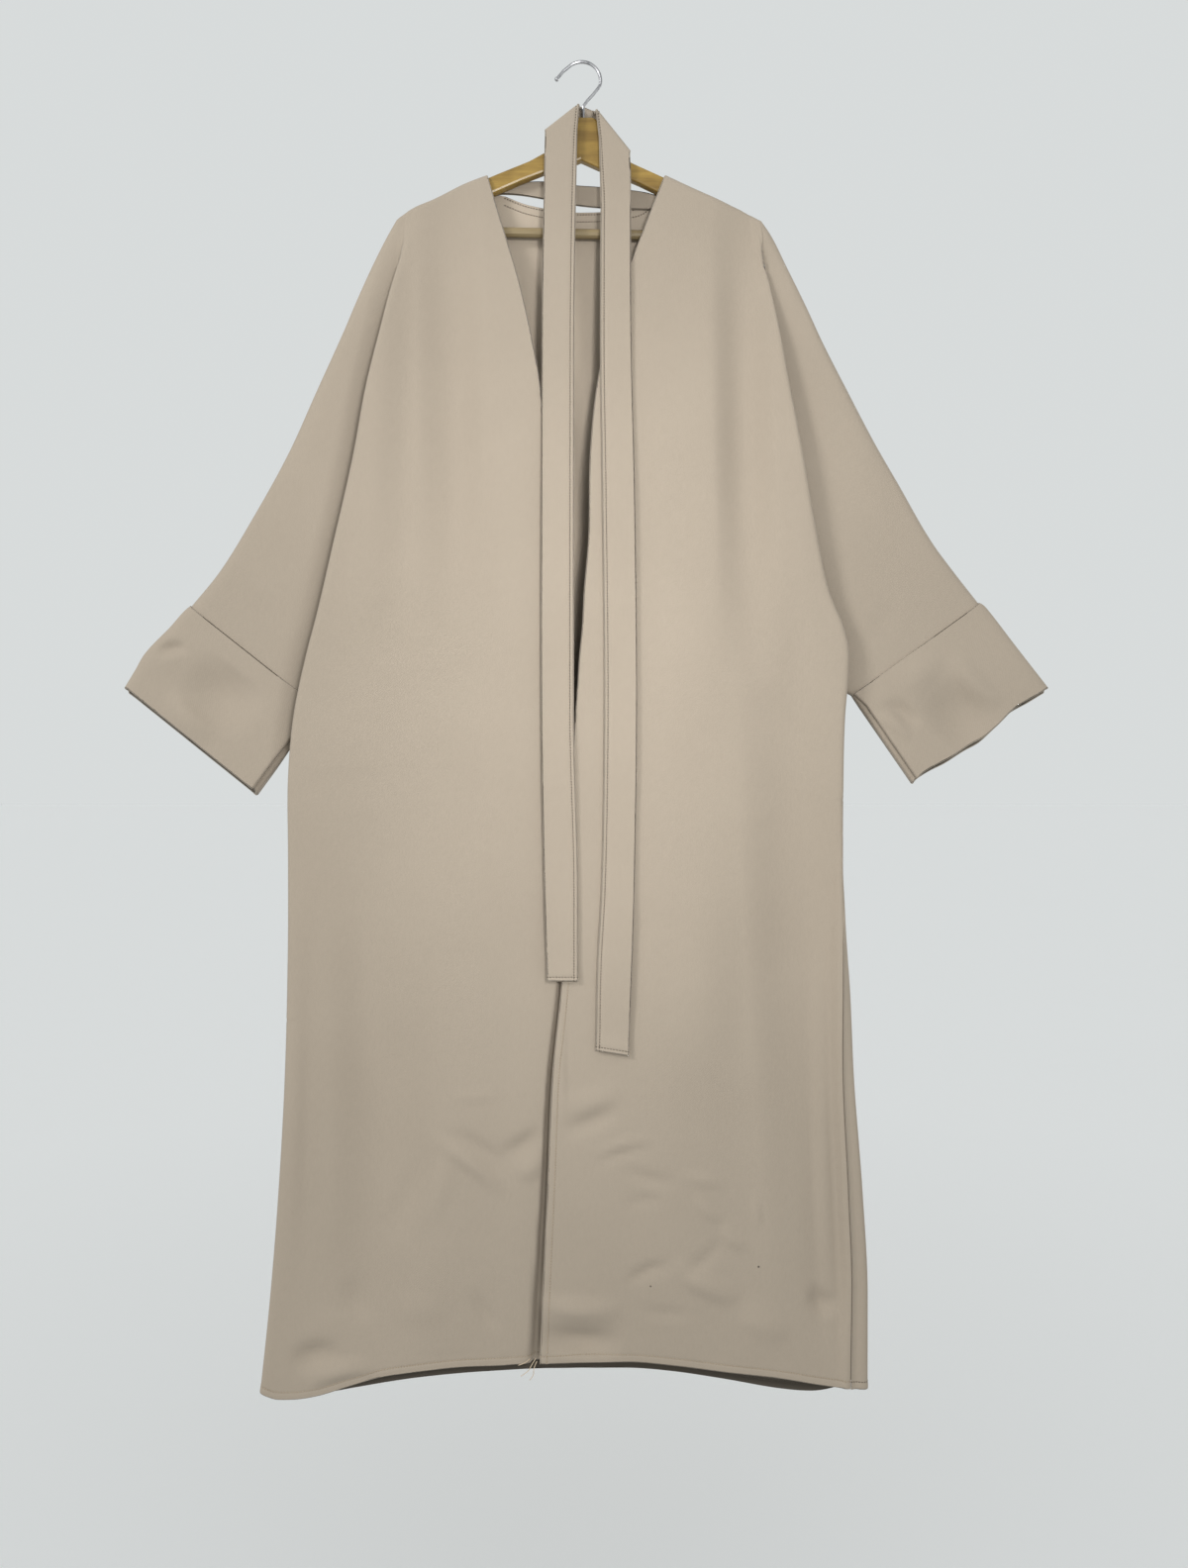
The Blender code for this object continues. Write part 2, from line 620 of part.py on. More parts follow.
def strand_rows(side, rows, slant):
    """Rows of one hanging strand from its free end up, each from its inner to its outer edge."""
    made = []
    for drop in np.linspace(rows[-1][0], rows[0][0], STRAND_ROWS):
        inner, outer = curve(rows, BELT, "inner", drop), curve(rows, BELT, "outer", drop)
        lift = slant * max((drop - rows[-1][0]) / SLANT_RISE + 1, 0.0)
        ends = ((inner, drop - lift / 2), (outer, drop + lift / 2))
        made.append([(side * out, belt_y(low), low) for out, low in ends])
    return made


def turn_rows(line, band):
    """Rows round a fold line, from the hanging strand over the top to the band behind the hanger."""
    middle, half = (BELT_BACK - BELT_FRONT) / 2, (BELT_BACK + BELT_FRONT) / 2
    made = []
    for angle in np.linspace(0, math.pi, TURN_ROWS):
        way = HANG if angle < math.pi / 2 else band
        shift = TURN_REACH * (1 - math.sin(angle))
        y = middle - half * math.cos(angle)
        made.append([(x + way[0] * shift, y, drop + way[1] * shift) for x, drop in line])
    return made


def strip(surface, rows):
    """A band of cloth through rows given by their two ends."""
    made = []
    for start, end in rows:
        start, end = np.array(start), np.array(end)
        points = [start + (end - start) * share for share in (0, 0.5, 1)]
        made.append([surface.verts.new((x * MM, y * MM, -drop * MM)) for x, y, drop in points])
    knit(surface, made)


def strand_surface(side):
    """One hanging end of the belt."""

    def build(surface):
        strip(surface, strand_rows(side, STRANDS[side]["rows"], STRANDS[side]["slant"]))

    return build


def belt_neck_surface(surface):
    """The belt's stretch over the hanger's arms and behind its neck, from one strand's top to the other's."""
    tops = {}
    for side in (LEFT, RIGHT):
        top = strand_rows(side, STRANDS[side]["rows"], 0)[-1]
        tops[side] = [(x, y, drop - BELT_GAP) for x, y, drop in top]
    above = [[(x, -BELT_FRONT, drop) for x, drop in edges] for edges in (LEFT_ABOVE, RIGHT_ABOVE)]
    rows = [tops[LEFT], above[0]] + turn_rows(LEFT_FOLD_LINE, LEFT_BAND)
    rows += turn_rows(RIGHT_FOLD_LINE, RIGHT_BAND)[::-1] + [above[1], tops[RIGHT]]
    strip(surface, rows)


def strap_surface(surface):
    rows = []
    for x in np.linspace(STRAP_ROWS[0][0], STRAP_ROWS[-1][0], STRAP_COLUMNS + 1):
        upper, lower = (curve(STRAP_ROWS, STRAP, name, x) for name in ("upper", "lower"))
        points = [(x, STRAP_DEPTH, upper + (lower - upper) * share) for share in (0, 0.5, 1)]
        rows.append([surface.verts.new((px * MM, y * MM, -drop * MM)) for px, y, drop in points])
    knit(surface, rows)


def mesh_from(curve_object):
    """Mesh of a curve object, its caps welded, and the curve removed."""
    graph = bpy.context.evaluated_depsgraph_get()
    mesh = bpy.data.meshes.new_from_object(curve_object.evaluated_get(graph))
    surface = bmesh.new()
    surface.from_mesh(mesh)
    bmesh.ops.remove_doubles(surface, verts=surface.verts, dist=SAME_PLACE)
    surface.to_mesh(mesh)
    surface.free()
    bpy.data.objects.remove(curve_object)
    return mesh


def hanger_point(out, drop, side):
    """A point of the hanger, turned with its slight roll about the hook."""
    x, z = side * out, -drop
    cos, sin = math.cos(-HANGER_ROLL), math.sin(-HANGER_ROLL)
    return ((HANGER_X + x * cos - z * sin) * MM, (x * sin + z * cos) * MM)


def hanger_outline():
    """Right half from the top middle round to the bottom middle, then the left half back."""
    half = HANGER_TOP_ROWS + HANGER_BOTTOM_ROWS
    right = [hanger_point(out, drop, RIGHT) for out, drop in half]
    left = [hanger_point(out, drop, LEFT) for out, drop in half[-2:0:-1]]
    return right + left


def add_hanger(collection, look):
    """Flat wooden body, its edges rounded."""
    data = bpy.data.curves.new("hanger", "CURVE")
    data.dimensions = "2D"
    data.fill_mode = "BOTH"
    data.extrude = (HANGER_HALF - HANGER_EDGE) * MM
    data.bevel_depth = HANGER_EDGE * MM
    data.bevel_resolution = 1
    data.offset = -HANGER_EDGE * MM
    spline = data.splines.new("POLY")
    outline = hanger_outline()
    spline.points.add(len(outline) - 1)
    for point, (x, z) in zip(spline.points, outline):
        point.co = (x, z, 0, 1)
    spline.use_cyclic_u = True
    flat = bpy.data.objects.new("hanger_curve", data)
    collection.objects.link(flat)
    made = add_mesh("hanger_wood", mesh_from(flat), look, collection)
    made.rotation_euler = (math.pi / 2, 0, 0)
    return made


def add_wire(name, points, radius, resolution, look, collection):
    """A round bar along the points, closed at both ends."""
    data = bpy.data.curves.new(name, "CURVE")
    data.dimensions = "3D"
    data.bevel_depth = radius * MM
    data.bevel_resolution = resolution
    data.use_fill_caps = True
    spline = data.splines.new("POLY")
    spline.points.add(len(points) - 1)
    for point, (x, y, drop) in zip(spline.points, points):
        point.co = (x * MM, y * MM, -drop * MM, 1)
    wire = bpy.data.objects.new(name + "_curve", data)
    collection.objects.link(wire)
    return add_mesh(name, mesh_from(wire), look, collection)


def hook_points():
    """Stem, round top and tip of the hook."""
    x, drop = HOOK_CENTRE
    points = [(px, 0, down) for px, down in HOOK_STEM]
    for turn in np.radians(np.linspace(*HOOK_TURN, HOOK_TURN_POINTS)):
        points.append((x + HOOK_RADIUS * math.cos(turn), 0, drop - HOOK_RADIUS * math.sin(turn)))
    points += [(px, 0, down) for px, down in HOOK_TIP]
    return points


def add_hook(collection, look):
    """Bent wire with a round bead on its tip."""
    made = add_wire("hanger_hook", hook_points(), WIRE_RADIUS, 2, look, collection)
    bead = bpy.data.meshes.new("bead")
    surface = bmesh.new()
    bmesh.ops.create_uvsphere(
        surface, u_segments=BALL_SEGMENTS, v_segments=BALL_RINGS, radius=HOOK_BALL * MM
    )
    surface.to_mesh(bead)
    surface.free()
    tip = bpy.data.objects.new("bead", bead)
    tip.location = (HOOK_TIP[-1][0] * MM, 0, -HOOK_TIP[-1][1] * MM)
    tip.hide_render = True
    tip.display_type = "WIRE"
    collection.objects.link(tip)
    union = made.modifiers.new("Bead", "BOOLEAN")
    union.operation = "UNION"
    union.object = tip
    return made


def main():
    for old in list(bpy.data.objects):
        bpy.data.objects.remove(old)
    collection = bpy.data.collections.new("abaya_cloak_on_hanger")
    bpy.context.scene.collection.children.link(collection)
    cloth = material("beige_cloth", CLOTH_COLOUR, 0.9)
    wood = material("varnished_wood", WOOD_COLOUR, 0.35)
    pale_wood = material("pale_bar_wood", BAR_COLOUR, 0.45)
    steel = material("steel_wire", STEEL_COLOUR, 0.25, 1.0)
    add_cloth("front_left", front_surface(LEFT), WALL, cloth, collection)
    add_cloth("front_right", front_surface(RIGHT), WALL, cloth, collection)
    add_cloth("back", back_surface, WALL, cloth, collection)
    add_cloth("cuff_left", cuff_surface(LEFT), CUFF_WALL, cloth, collection)
    add_cloth("cuff_right", cuff_surface(RIGHT), CUFF_WALL, cloth, collection)
    add_cloth("belt_left", strand_surface(LEFT), BELT_WALL, cloth, collection)
    add_cloth("belt_neck", belt_neck_surface, BELT_WALL, cloth, collection)
    add_cloth("belt_right", strand_surface(RIGHT), BELT_WALL, cloth, collection)
    add_cloth("neck_strap", strap_surface, STRAP_WALL, cloth, collection)
    add_hanger(collection, wood)
    ends = [hanger_point(BAR_END, BAR_DROP, side) for side in (LEFT, RIGHT)]
    bar = [(x / MM, 0, -z / MM) for x, z in ends]
    add_wire("hanger_bar", bar, BAR_RADIUS, 3, pale_wood, collection)
    add_hook(collection, steel)


main()
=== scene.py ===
"""Dresses the abaya cloak on its hanger: cloth, stitching, wood and steel, with a plain stage.

Sizes in the tables are in millimetres. `out` is a distance outwards from the middle plane x = 0, `drop` a
distance below the hook, and a level is the drop of one row of cloth at its middle. Left and right are as
seen from the front, which faces -Y.
"""

import json
import math

import bmesh
import bpy
import numpy as np
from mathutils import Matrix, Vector

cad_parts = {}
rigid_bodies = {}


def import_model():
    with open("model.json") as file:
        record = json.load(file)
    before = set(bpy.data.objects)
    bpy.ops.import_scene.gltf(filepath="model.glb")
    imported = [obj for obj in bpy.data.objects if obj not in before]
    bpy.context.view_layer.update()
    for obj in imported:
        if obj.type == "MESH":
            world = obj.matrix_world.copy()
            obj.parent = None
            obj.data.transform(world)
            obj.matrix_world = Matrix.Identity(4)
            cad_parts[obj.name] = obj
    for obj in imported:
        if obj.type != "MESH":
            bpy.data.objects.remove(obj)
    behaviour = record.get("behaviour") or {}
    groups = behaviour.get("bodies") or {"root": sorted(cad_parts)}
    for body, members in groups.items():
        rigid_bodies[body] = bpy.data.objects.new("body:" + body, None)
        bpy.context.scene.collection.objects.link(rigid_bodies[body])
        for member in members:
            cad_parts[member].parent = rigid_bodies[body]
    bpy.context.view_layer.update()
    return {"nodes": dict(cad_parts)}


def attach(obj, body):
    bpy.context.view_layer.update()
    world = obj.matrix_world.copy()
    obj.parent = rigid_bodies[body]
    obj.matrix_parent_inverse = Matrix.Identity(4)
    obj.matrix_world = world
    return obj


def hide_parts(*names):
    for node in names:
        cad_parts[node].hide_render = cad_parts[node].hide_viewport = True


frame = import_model()

bl_info = {
    "name": "Abaya cloak on a hanger",
    "version": (1, 0, 0),
    "blender": (4, 5, 0),
    "location": "View3D > Sidebar > Cloak",
    "description": "Makes an open-front cloak with its belt, hanging on a wooden hanger",
    "category": "Add Mesh",
}

MM = 0.001
LEFT, RIGHT = -1, 1
FRONT, BACK = -1, 1
SIDE_NAMES = {LEFT: "left", RIGHT: "right"}

# Seams and the way rows are sampled
ARM_SEAM_GAP = 0.15
CUFF_SEAM_GAP = -1.6
SIDE_SEAM_GAP = 0.1
LAY_GAP = 0.5
ARM_ROUND = 9.0  # height over which the cloth rounds the hanger's arm
FOLD_BEND, BEND_STEPS = 14.0, 12  # how far each way a corner of a row is rounded, and in how many steps
TURN_WEIGHT = 14.0  # columns crowd where the cloth turns: millimetres of run counted per radian
SAME_PLACE = 1e-6  # points nearer than this are one
TINY = 1e-15  # the least length that divides
RIM_TURNS = (45, 90, 135)  # rows of points round a free edge, in degrees from the outer face
FACE_POINTS, FINE_POINTS = 60, 900
LEVEL_FADE = 1.5  # power by which the rows turn from the shoulder line, and to the hem
NOWHERE = 1e4  # a running length far from any seam

# Levels of the rows
NECK_LEVEL, UNDERARM_LEVEL, HEM_LEVEL = 132.0, 690.0, 1497.0
SHOULDER_END, HEM_START = 420.0, 1000.0
TOP_STEPS = (0, 0.25, 0.9, 2, 3.6, 5.6, 8, 11, 15, 20)  # below the neck level
HEM_STEPS = (19, 15, 12.5, 10.8, 9.6, 8.6, 7.4, 5.8, 3.8, 2, 0.8, 0)  # above the hem level
UPPER_ROWS, LOWER_ROWS = 92, 128
BODY_COLUMNS, SHOULDER_COLUMNS, SLEEVE_COLUMNS = 76, 50, 30
EDGE_STEPS = (0, 0.8, 2, 4, 6, 7.4, 8.6, *np.arange(10, 32, 1.5), 33, 36)  # in from a free edge
SEAM_STEPS = (11, 7, 4.4, 2.6, 1.3, 0.5, 0)  # in from a seam, the seam last
NECK_COLUMNS = (  # shares of the way from the back's middle to the neck point
    0, 0.08, 0.16, 0.24, 0.32, 0.4, 0.48, 0.56, 0.63, 0.7, 0.76, 0.82, 0.88, 0.925, 0.965, 0.98, 0.99,
)
SLEEVE_SHARES = (  # shares of the way from the underarm to the cuff
    0.08, 0.17, 0.26, 0.35, 0.44, 0.53, 0.62, 0.7, 0.78, 0.85, 0.9, 0.94, 0.965, 0.983, 0.994, 1,
)

# Each side's body: the front's middle edge, the outermost fold, how far the cloth laps back behind that
# fold, the drop of the over-arm seam where the row ends, and the side seam's shift towards the back.
SIDE = ("level", "middle", "fold", "lap", "arm", "seam")
LEFT_SIDE = (
    (132, 108, 191, -8, 184, 0), (160, 100, 200, -4, 194, 0), (200, 88, 208, 5, 215, 0),
    (250, 73, 218, 13, 245, 0), (310, 59, 229, 20, 282, 0), (380, 46, 243, 28, 326, 0),
    (460, 41, 257, 36, 387, 0), (560, 35, 279, 44, 466, 0), (640, 30, 297, 50, 531, 0),
    (690, 27, 310, 52, 572, 0), (760, 22, 325, 46, 572, 0), (830, 19, 332, 34, 572, 3),
    (920, 15, 333, 18, 572, 8), (1040, 12, 334, 4, 572, 16), (1170, 12, 338, 0, 572, 24),
    (1290, 15, 346, 0, 572, 30), (1400, 18, 356, 0, 572, 34), (1497, 22, 367, 0, 572, 36),
)
RIGHT_SIDE = (
    (132, 98, 198, -8, 184, 0), (160, 87, 206, -4, 196, 0), (200, 72, 211, 4, 219, 0),
    (250, 53, 219, 12, 248, 0), (310, 34, 228, 19, 284, 0), (380, 19, 238, 26, 327, 0),
    (460, 11, 252, 32, 386, 0), (560, 9, 269, 38, 465, 0), (620, 4, 282, 42, 513, 0),
    (660, 2, 298, 45, 544, 0), (690, -1, 304, 44, 568, 0), (720, -3, 303, 40, 568, 0),
    (760, -6, 300, 26, 568, 0), (830, -9, 299, 4, 568, -2), (880, -11, 299, 0, 568, -13),
    (920, -13, 299, 0, 568, -20), (1000, -17, 303, 0, 568, -27), (1070, -22, 308, 0, 568, -31),
    (1170, -32, 313, 0, 568, -34), (1290, -37, 323, 0, 568, -36), (1400, -42, 329, 0, 568, -37),
    (1497, -46, 329, 0, 568, -38),
)

# How far each layer stands in front of, or behind, the middle plane y = 0.
DEPTH = ("level", "middle", "fold", "tuck", "valley", "sleeve")
FRONT_DEPTH = (
    (132, 10.6, 9, 8.6, 8.3, 8), (160, 11.5, 9.5, 8.8, 8.4, 8), (200, 14, 14, 10.5, 9, 7.5),
    (250, 17, 19, 13.5, 10.5, 8), (310, 20, 24, 17, 13, 9), (380, 24, 28, 20, 15, 10),
    (460, 28, 32, 22, 16.5, 11), (560, 32, 36, 25, 18, 12), (640, 34, 38, 26, 13, 12),
    (690, 34, 38, 26, 0, 12), (760, 34, 36, 24, 0, 12), (830, 33, 33, 20, 0, 12), (920, 32, 29, 16, 0, 12),
    (1040, 31, 26, 12, 0, 12), (1200, 30, 23, 10, 0, 12), (1350, 28, 21, 10, 0, 12),
    (1497, 26, 20, 10, 0, 12),
)
BACK_DEPTH = (
    (132, 10.6, 9, 8.6, 8.3, 8), (160, 11, 9.5, 8.7, 8.2, 7.8), (200, 13, 12, 9.6, 8.5, 7.5),
    (250, 15, 15, 11.5, 9.5, 7.5), (310, 17, 18, 13, 10.5, 8), (380, 19, 20, 14.5, 11.5, 8.5),
    (460, 21, 22, 15.5, 12, 9), (560, 23, 25, 17.5, 13.5, 9.5), (640, 24, 27, 18.5, 9, 10),
    (690, 25, 28, 19, 0, 10), (760, 25, 26, 16, 0, 10), (920, 23, 20, 10, 0, 10), (1040, 21, 17, 8, 0, 10),
    (1200, 18, 15, 6, 0, 10), (1497, 14, 14, 6, 0, 10),
)
# The right front laps over the left one, so its middle edge stands this much further forward.
OVERLAP = ("level", "forward")
OVERLAP_ROWS = ((132, 0), (310, 0), (460, 3), (560, 4), (700, 5), (920, 6.5), (1200, 8), (1497, 9))

# Over-arm seam from the shoulder's end to the cuff, and the shoulder line inside it.
ARM = ("drop", "out")
LEFT_ARM = (
    (184, 212), (204, 223.5), (239, 241), (279, 259), (317, 275), (386, 306), (455, 337), (524, 374.5),
    (593, 417), (633.5, 450),
)
RIGHT_ARM = (
    (184, 206), (198, 217), (241, 239), (286, 261), (332, 282), (376, 304), (443, 339), (490, 366),
    (559, 406), (593, 431), (630, 460),
)
TOP = ("out", "extra")
LEFT_TOP = ((108, 0), (137, 10.5), (172, 28), (198, 40.5), (212, 52))
RIGHT_TOP = ((98, 0), (130, 15), (172, 33.5), (193, 43), (206, 52))
# The back's neck edge from the middle out to the neck point.
LEFT_NECK = ((0, 36.5), (22, 35.5), (44, 31.5), (66, 26.5), (89, 17.5), (104, 12), (106.5, 6), (108, 0))
RIGHT_NECK = ((0, 36.5), (22, 36), (62, 31), (76, 25.5), (86, 14.5), (94, 10), (96.5, 5), (98, 0))

# How far the hem hangs below its level at the middle front, along the front and along the back.
HEM = ("out", "front", "back")
LEFT_HEM = (
    (0, 0, 25), (57, 0.5, 26), (92, 3, 28), (137, 5, 31), (195, 12, 37), (229, 17.5, 42), (264, 28, 48),
    (298, 39, 53), (322, 43.5, 53), (346, 44.6, 47), (368, 38, 38),
)
RIGHT_HEM = (
    (-50, -3, 25), (0, -4.5, 25), (52, -5, 25), (103, -0.5, 28.5), (168, 9, 38), (232, 18, 49),
    (270, 26, 52), (303, 31.5, 46), (329, 33.5, 33.5),
)

# Long soft folds: the levels where each starts and ends, how far out it lies there, its half width and
# its depth. A positive depth sinks into the garment and a negative one stands out.
LEFT_FOLDS = (
    (170, 700, 182, 205, 42, 4.5), (820, 1420, 262, 272, 60, 5), (900, 1480, 120, 150, 55, -3),
)
RIGHT_FOLDS = (
    (170, 720, 178, 190, 40, 4), (880, 1440, 190, 205, 60, 5), (1000, 1490, 90, 110, 60, -3),
)
BACK_FOLDS = (
    (180, 1500, 14, 20, 16, 3.5), (220, 900, 95, 120, 34, 4), (760, 1490, 205, 225, 55, 5),
)

# The cuff seam's underarm and over-arm ends, and the opening's inner and outer corner: out and drop.
CUFF = {
    LEFT: {"inner": (304, 749), "outer": (450, 633.5), "open_in": (377, 848.5), "open_out": (527, 728)},
    RIGHT: {"inner": (316, 734), "outer": (460, 630), "open_in": (387, 837), "open_out": (540, 727.5)},
}
UNDERARM_CURVE = (12.0, 22.0)  # corner that the curve from the underarm to the cuff bends towards
CUFF_FRONT, CUFF_BACK = 13.0, 11.0  # how far its layers stand off the middle plane
# How far each cuff's outer edge bows out, and how far the right cuff's opening waves up and down.
SHIFT = ("share", "by")
CUFF_BULGE = {
    LEFT: ((0, 0.4), (0.03, 1.6), (0.3, 3.6), (0.54, 6.5), (0.62, 6.7), (0.8, 3.4), (1, 0)),
    RIGHT: ((0, 0.5), (0.03, 2.4), (0.1, 3.2), (0.5, 1.6), (1, 0)),
}
RIGHT_CUFF_WAVE = (
    (0, -2), (0.06, -4.5), (0.15, -3.5), (0.25, -0.5), (0.4, 1), (0.5, 3.2), (0.6, 1.2), (0.77, -3.8),
    (0.9, -1.2), (1, 0),
)
CUFF_WAVE_BEND = 3  # the wave grows with this power of the way down the cuff
# Rings of a cuff: shares of the way from its seam to its opening
CUFF_SEAM_SHARES, CUFF_MIDDLE = (0, 0.004, 0.01, 0.02, 0.035), (0.055, 0.94)
CUFF_OPEN_SHARES = (0.955, 0.97, 0.982, 0.992, 1)
CUFF_COLUMNS, CUFF_ROWS = 84, 52
# At the opening the front layer lies higher and the back layer reaches lower, away from both corners.
CUFF_OPEN_LIFT = {LEFT: 3.6, RIGHT: 1.6}
CUFF_BACK_REACH = {LEFT: 3.2, RIGHT: 3.4}
BACK_REACH_BEND = 8  # the back layer reaches down with this power of the way down the cuff
CUFF_CORNERS = 12  # a corner takes one part in so many of the opening
# Along the inner fold the front layer ends in a lip, over a strip of the back layer.
CUFF_LIP, LIP_UNDER, STRIP_DEPTH, LIP_DEPTH = 5.0, 7.0, 5.5, 9.5
LIP_BENDS = (3.0, 1.5, 1.5, 1.6, 1.6, FOLD_BEND)
LIP_START, LIP_GROWTH = 0.2, 5.0  # share of the lip at the seam, and how fast it grows from there

SIDES = {
    LEFT: {"side": LEFT_SIDE, "arm": LEFT_ARM, "top": LEFT_TOP, "neck": LEFT_NECK, "hem": LEFT_HEM,
           "folds": LEFT_FOLDS, "neck_out": 108},
    RIGHT: {"side": RIGHT_SIDE, "arm": RIGHT_ARM, "top": RIGHT_TOP, "neck": RIGHT_NECK, "hem": RIGHT_HEM,
            "folds": RIGHT_FOLDS, "neck_out": 98},
}

# The belt: the edges of each hanging strand, how far it waves forward, and its free end's slant
BELT = ("drop", "inner", "outer")
LEFT_STRAND = (
    (140, 4.6, 42), (200, 5.8, 43), (327, 7, 44.3), (540, 7, 44.3), (756, 7, 44.1), (958, 2.4, 40.5),
    (1059, 2.4, 37.2),
)
RIGHT_STRAND = (
    (170, 23, 58), (250, 22.5, 58), (327, 22.3, 58.4), (509, 24.5, 62), (734, 26.7, 64.2),
    (957, 23.3, 61.3), (1041, 18.9, 58.7), (1140, 17.2, 54.7),
)
BELT_WAVES = ("drop", "forward")
LEFT_WAVES = (
    (140, 0), (300, 0.8), (420, 0.2), (560, 1.2), (700, 0.3), (820, 0.9), (930, 0.2), (1000, 1),
    (1059, 0.3),
)
RIGHT_WAVES = (
    (170, 0), (260, 0.9), (400, 0.3), (520, 1.1), (650, 0.2), (800, 1), (900, 0.3), (1020, 1.2),
    (1140, 0.4),
)
STRANDS = {LEFT: (LEFT_STRAND, 0.0, LEFT_WAVES), RIGHT: (RIGHT_STRAND, 6.0, RIGHT_WAVES)}
# The strap across the back of the neck: its edges' drop from left to right
STRAP = ("x", "upper", "lower")
STRAP_ROWS = (
    (-98, 142.5, 149.5), (-90, 140.5, 148.6), (-71, 135, 149.7), (-43, 133.2, 154.3), (-5, 137.8, 161.7),
    (20, 139.5, 164.4), (60, 143.5, 166.2), (80, 147, 166.6), (89, 150, 164),
)
STRAP_DEPTH, STRAP_COLUMNS = 7.5, 60
# Rows of the belt: along a strand, round a turn, and between its parts
STRAND_ROWS, TURN_ROWS = 150, 25
STRAND_GAP_ROWS, TURN_GAP_ROWS, BAND_ROWS = 6, 4, 8
END_STEPS = (0, 0.9, 2.2, 3.6, 4.6, 5.6, 7.4, 10)  # up from the belt's free ends
END_RUN = 14.0  # from a free end up to the strand's even rows
SLANT_RISE = 40.0  # height over which a free end's slant is lost
BELT_CURL, CURL_REACH = 2.2, 13.0  # how far a free end curls forward, and over which height
# Inner and outer edge, x and drop, of a row above the cloth, and of the fold over the hanger's neck
LEFT_ABOVE, RIGHT_ABOVE = ((-3.5, 84), (-41.5, 112)), ((21, 94), (58, 136))
LEFT_FOLD_LINE, RIGHT_FOLD_LINE = ((-1.2, 51.3), (-41, 82.5)), ((17.5, 57.2), (57, 106.5))
# Ways, in x and drop, that the belt runs to its fold and on behind the hanger
HANG = (0, 1)
LEFT_BAND, RIGHT_BAND = (0.968, 0.248), (-0.972, -0.236)
TURN_REACH = 6.0  # how far from the fold line the belt starts to turn
# How far the belt and its fold stand off the middle plane, and how much higher its band lies at the back
BELT_FRONT, BELT_BACK, BAND_LIFT = 13.5, 11.0, 8.0
FRONT_WALL, BELT_WALL = 1.6, 3.0  # the belt lies on the front, wall on wall
# Columns of the belt and the strap: shares of their width
BELT_SHARES = (0, 0.02, 0.05, 0.09, 0.115, 0.14, 0.18, 0.26, 0.36, 0.5, 0.64, 0.78, 0.9, 0.96, 0.985, 1)

# Creases: both ends' x and drop, how far the middle bows sideways, half width, and height. A positive
# height stands out of the cloth and a negative one sinks in.
FRONT_CREASES = (
    # right front, below the belt
    (13, 1259, 86, 1238, -4, 8, 2.8), (11, 1269, 83, 1248, -4, 9, -2.3), (111, 1281, 167, 1293, -2, 7, 2.9),
    (43, 1272, 113, 1288, 3, 11, -2.8), (128, 1305, 162, 1334, 2, 8, 3.2),
    (158, 1339, 192, 1366, 3, 10, 3.3), (49, 1404, 107, 1381, -5, 10, -4.1),
    (103, 1378, 182, 1424, 4, 17, 5.5), (182, 1424, 235, 1471, 3, 24, 3.5),
    (-50, 1459, 50, 1467, 5, 21, -10.5), (-52, 1424, 50, 1432, 4, 17, 6.5),
    (-25, 1230, 47, 1198, 5, 16, -4.6), (-27, 1201, 54, 1181, 5, 20, 2.6),
    (47, 1314, 98, 1307, -3, 10, -2.3), (199, 1303, 204, 1343, 1, 6, 2.3),
    (62, 1430, 130, 1435, 4, 9, -2.3), (165, 1352, 105, 1399, -4, 12, -2.5),
    (260, 1416, 296, 1437, 5, 16, -6.2), (232, 560, 294, 1560, 8, 66, -17),
    (290, 1180, 300, 1540, 0, 50, -4), (276, 992, 290, 1510, 4, 14, 3.8),
    (128, 936, 133, 1194, -8, 50, 3.2), (66, 958, 60, 1160, 5, 26, -2), (-20, 1087, -18, 1216, 2, 7, 1.7),
    # left front, below the belt
    (-169, 1237, -220, 1361, -6, 26, -3), (-150, 1245, -193, 1352, -6, 24, 2.4),
    (-169, 1239, -84, 1305, -5, 12, 4.6), (-150, 1230, -77, 1284, -5, 13, -3.6),
    (-94, 1262, -42, 1228, 4, 15, -5.1), (-75, 1284, -42, 1260, 3, 14, 3.8),
    (-120, 1412, -90, 1461, 4, 12, -2.9), (-150, 1192, -90, 1187, 2, 8, 1.7),
    (-234, 868, -228, 1505, -8, 66, -17), (-326, 958, -339, 1441, -4, 18, 3.8),
    (-215, 913, -207, 1205, 6, 42, 2.9), (-334, 1502, -270, 1486, -5, 20, -7),
    (-316, 1524, -232, 1502, -6, 14, 5.1), (-265, 1399, -241, 1454, 4, 22, -2.9),
    (-222, 1433, -150, 1433, 3, 24, 1.7),
    # chest and waist
    (-151, 110, -148, 700, -4, 42, -14), (-222, 150, -236, 666, 4, 38, 5), (191, 110, 196, 740, 4, 40, -13),
    (240, 240, 256, 640, -4, 26, 2.4), (-80, 319, -74, 846, -3, 30, 1.4), (77, 375, 83, 868, 3, 26, -1.1),
    (217, 577, 253, 801, -8, 30, -1.8), (128, 577, 141, 779, 5, 40, 2.3),
    (-209, 622, -186, 846, 5, 40, -1.8),
)
SLEEVE_CREASES = (
    (232, 277, 314, 590, 8, 30, -3.6), (283, 311, 363, 573, 6, 26, 2.2),
    (-292, 311, -395, 573, -6, 30, -2.2), (-326, 413, -423, 596, -4, 20, 1.6),
    (363, 618, 325, 687, -3, 16, -1.6), (-383, 607, -338, 664, 3, 16, -1.4),
)
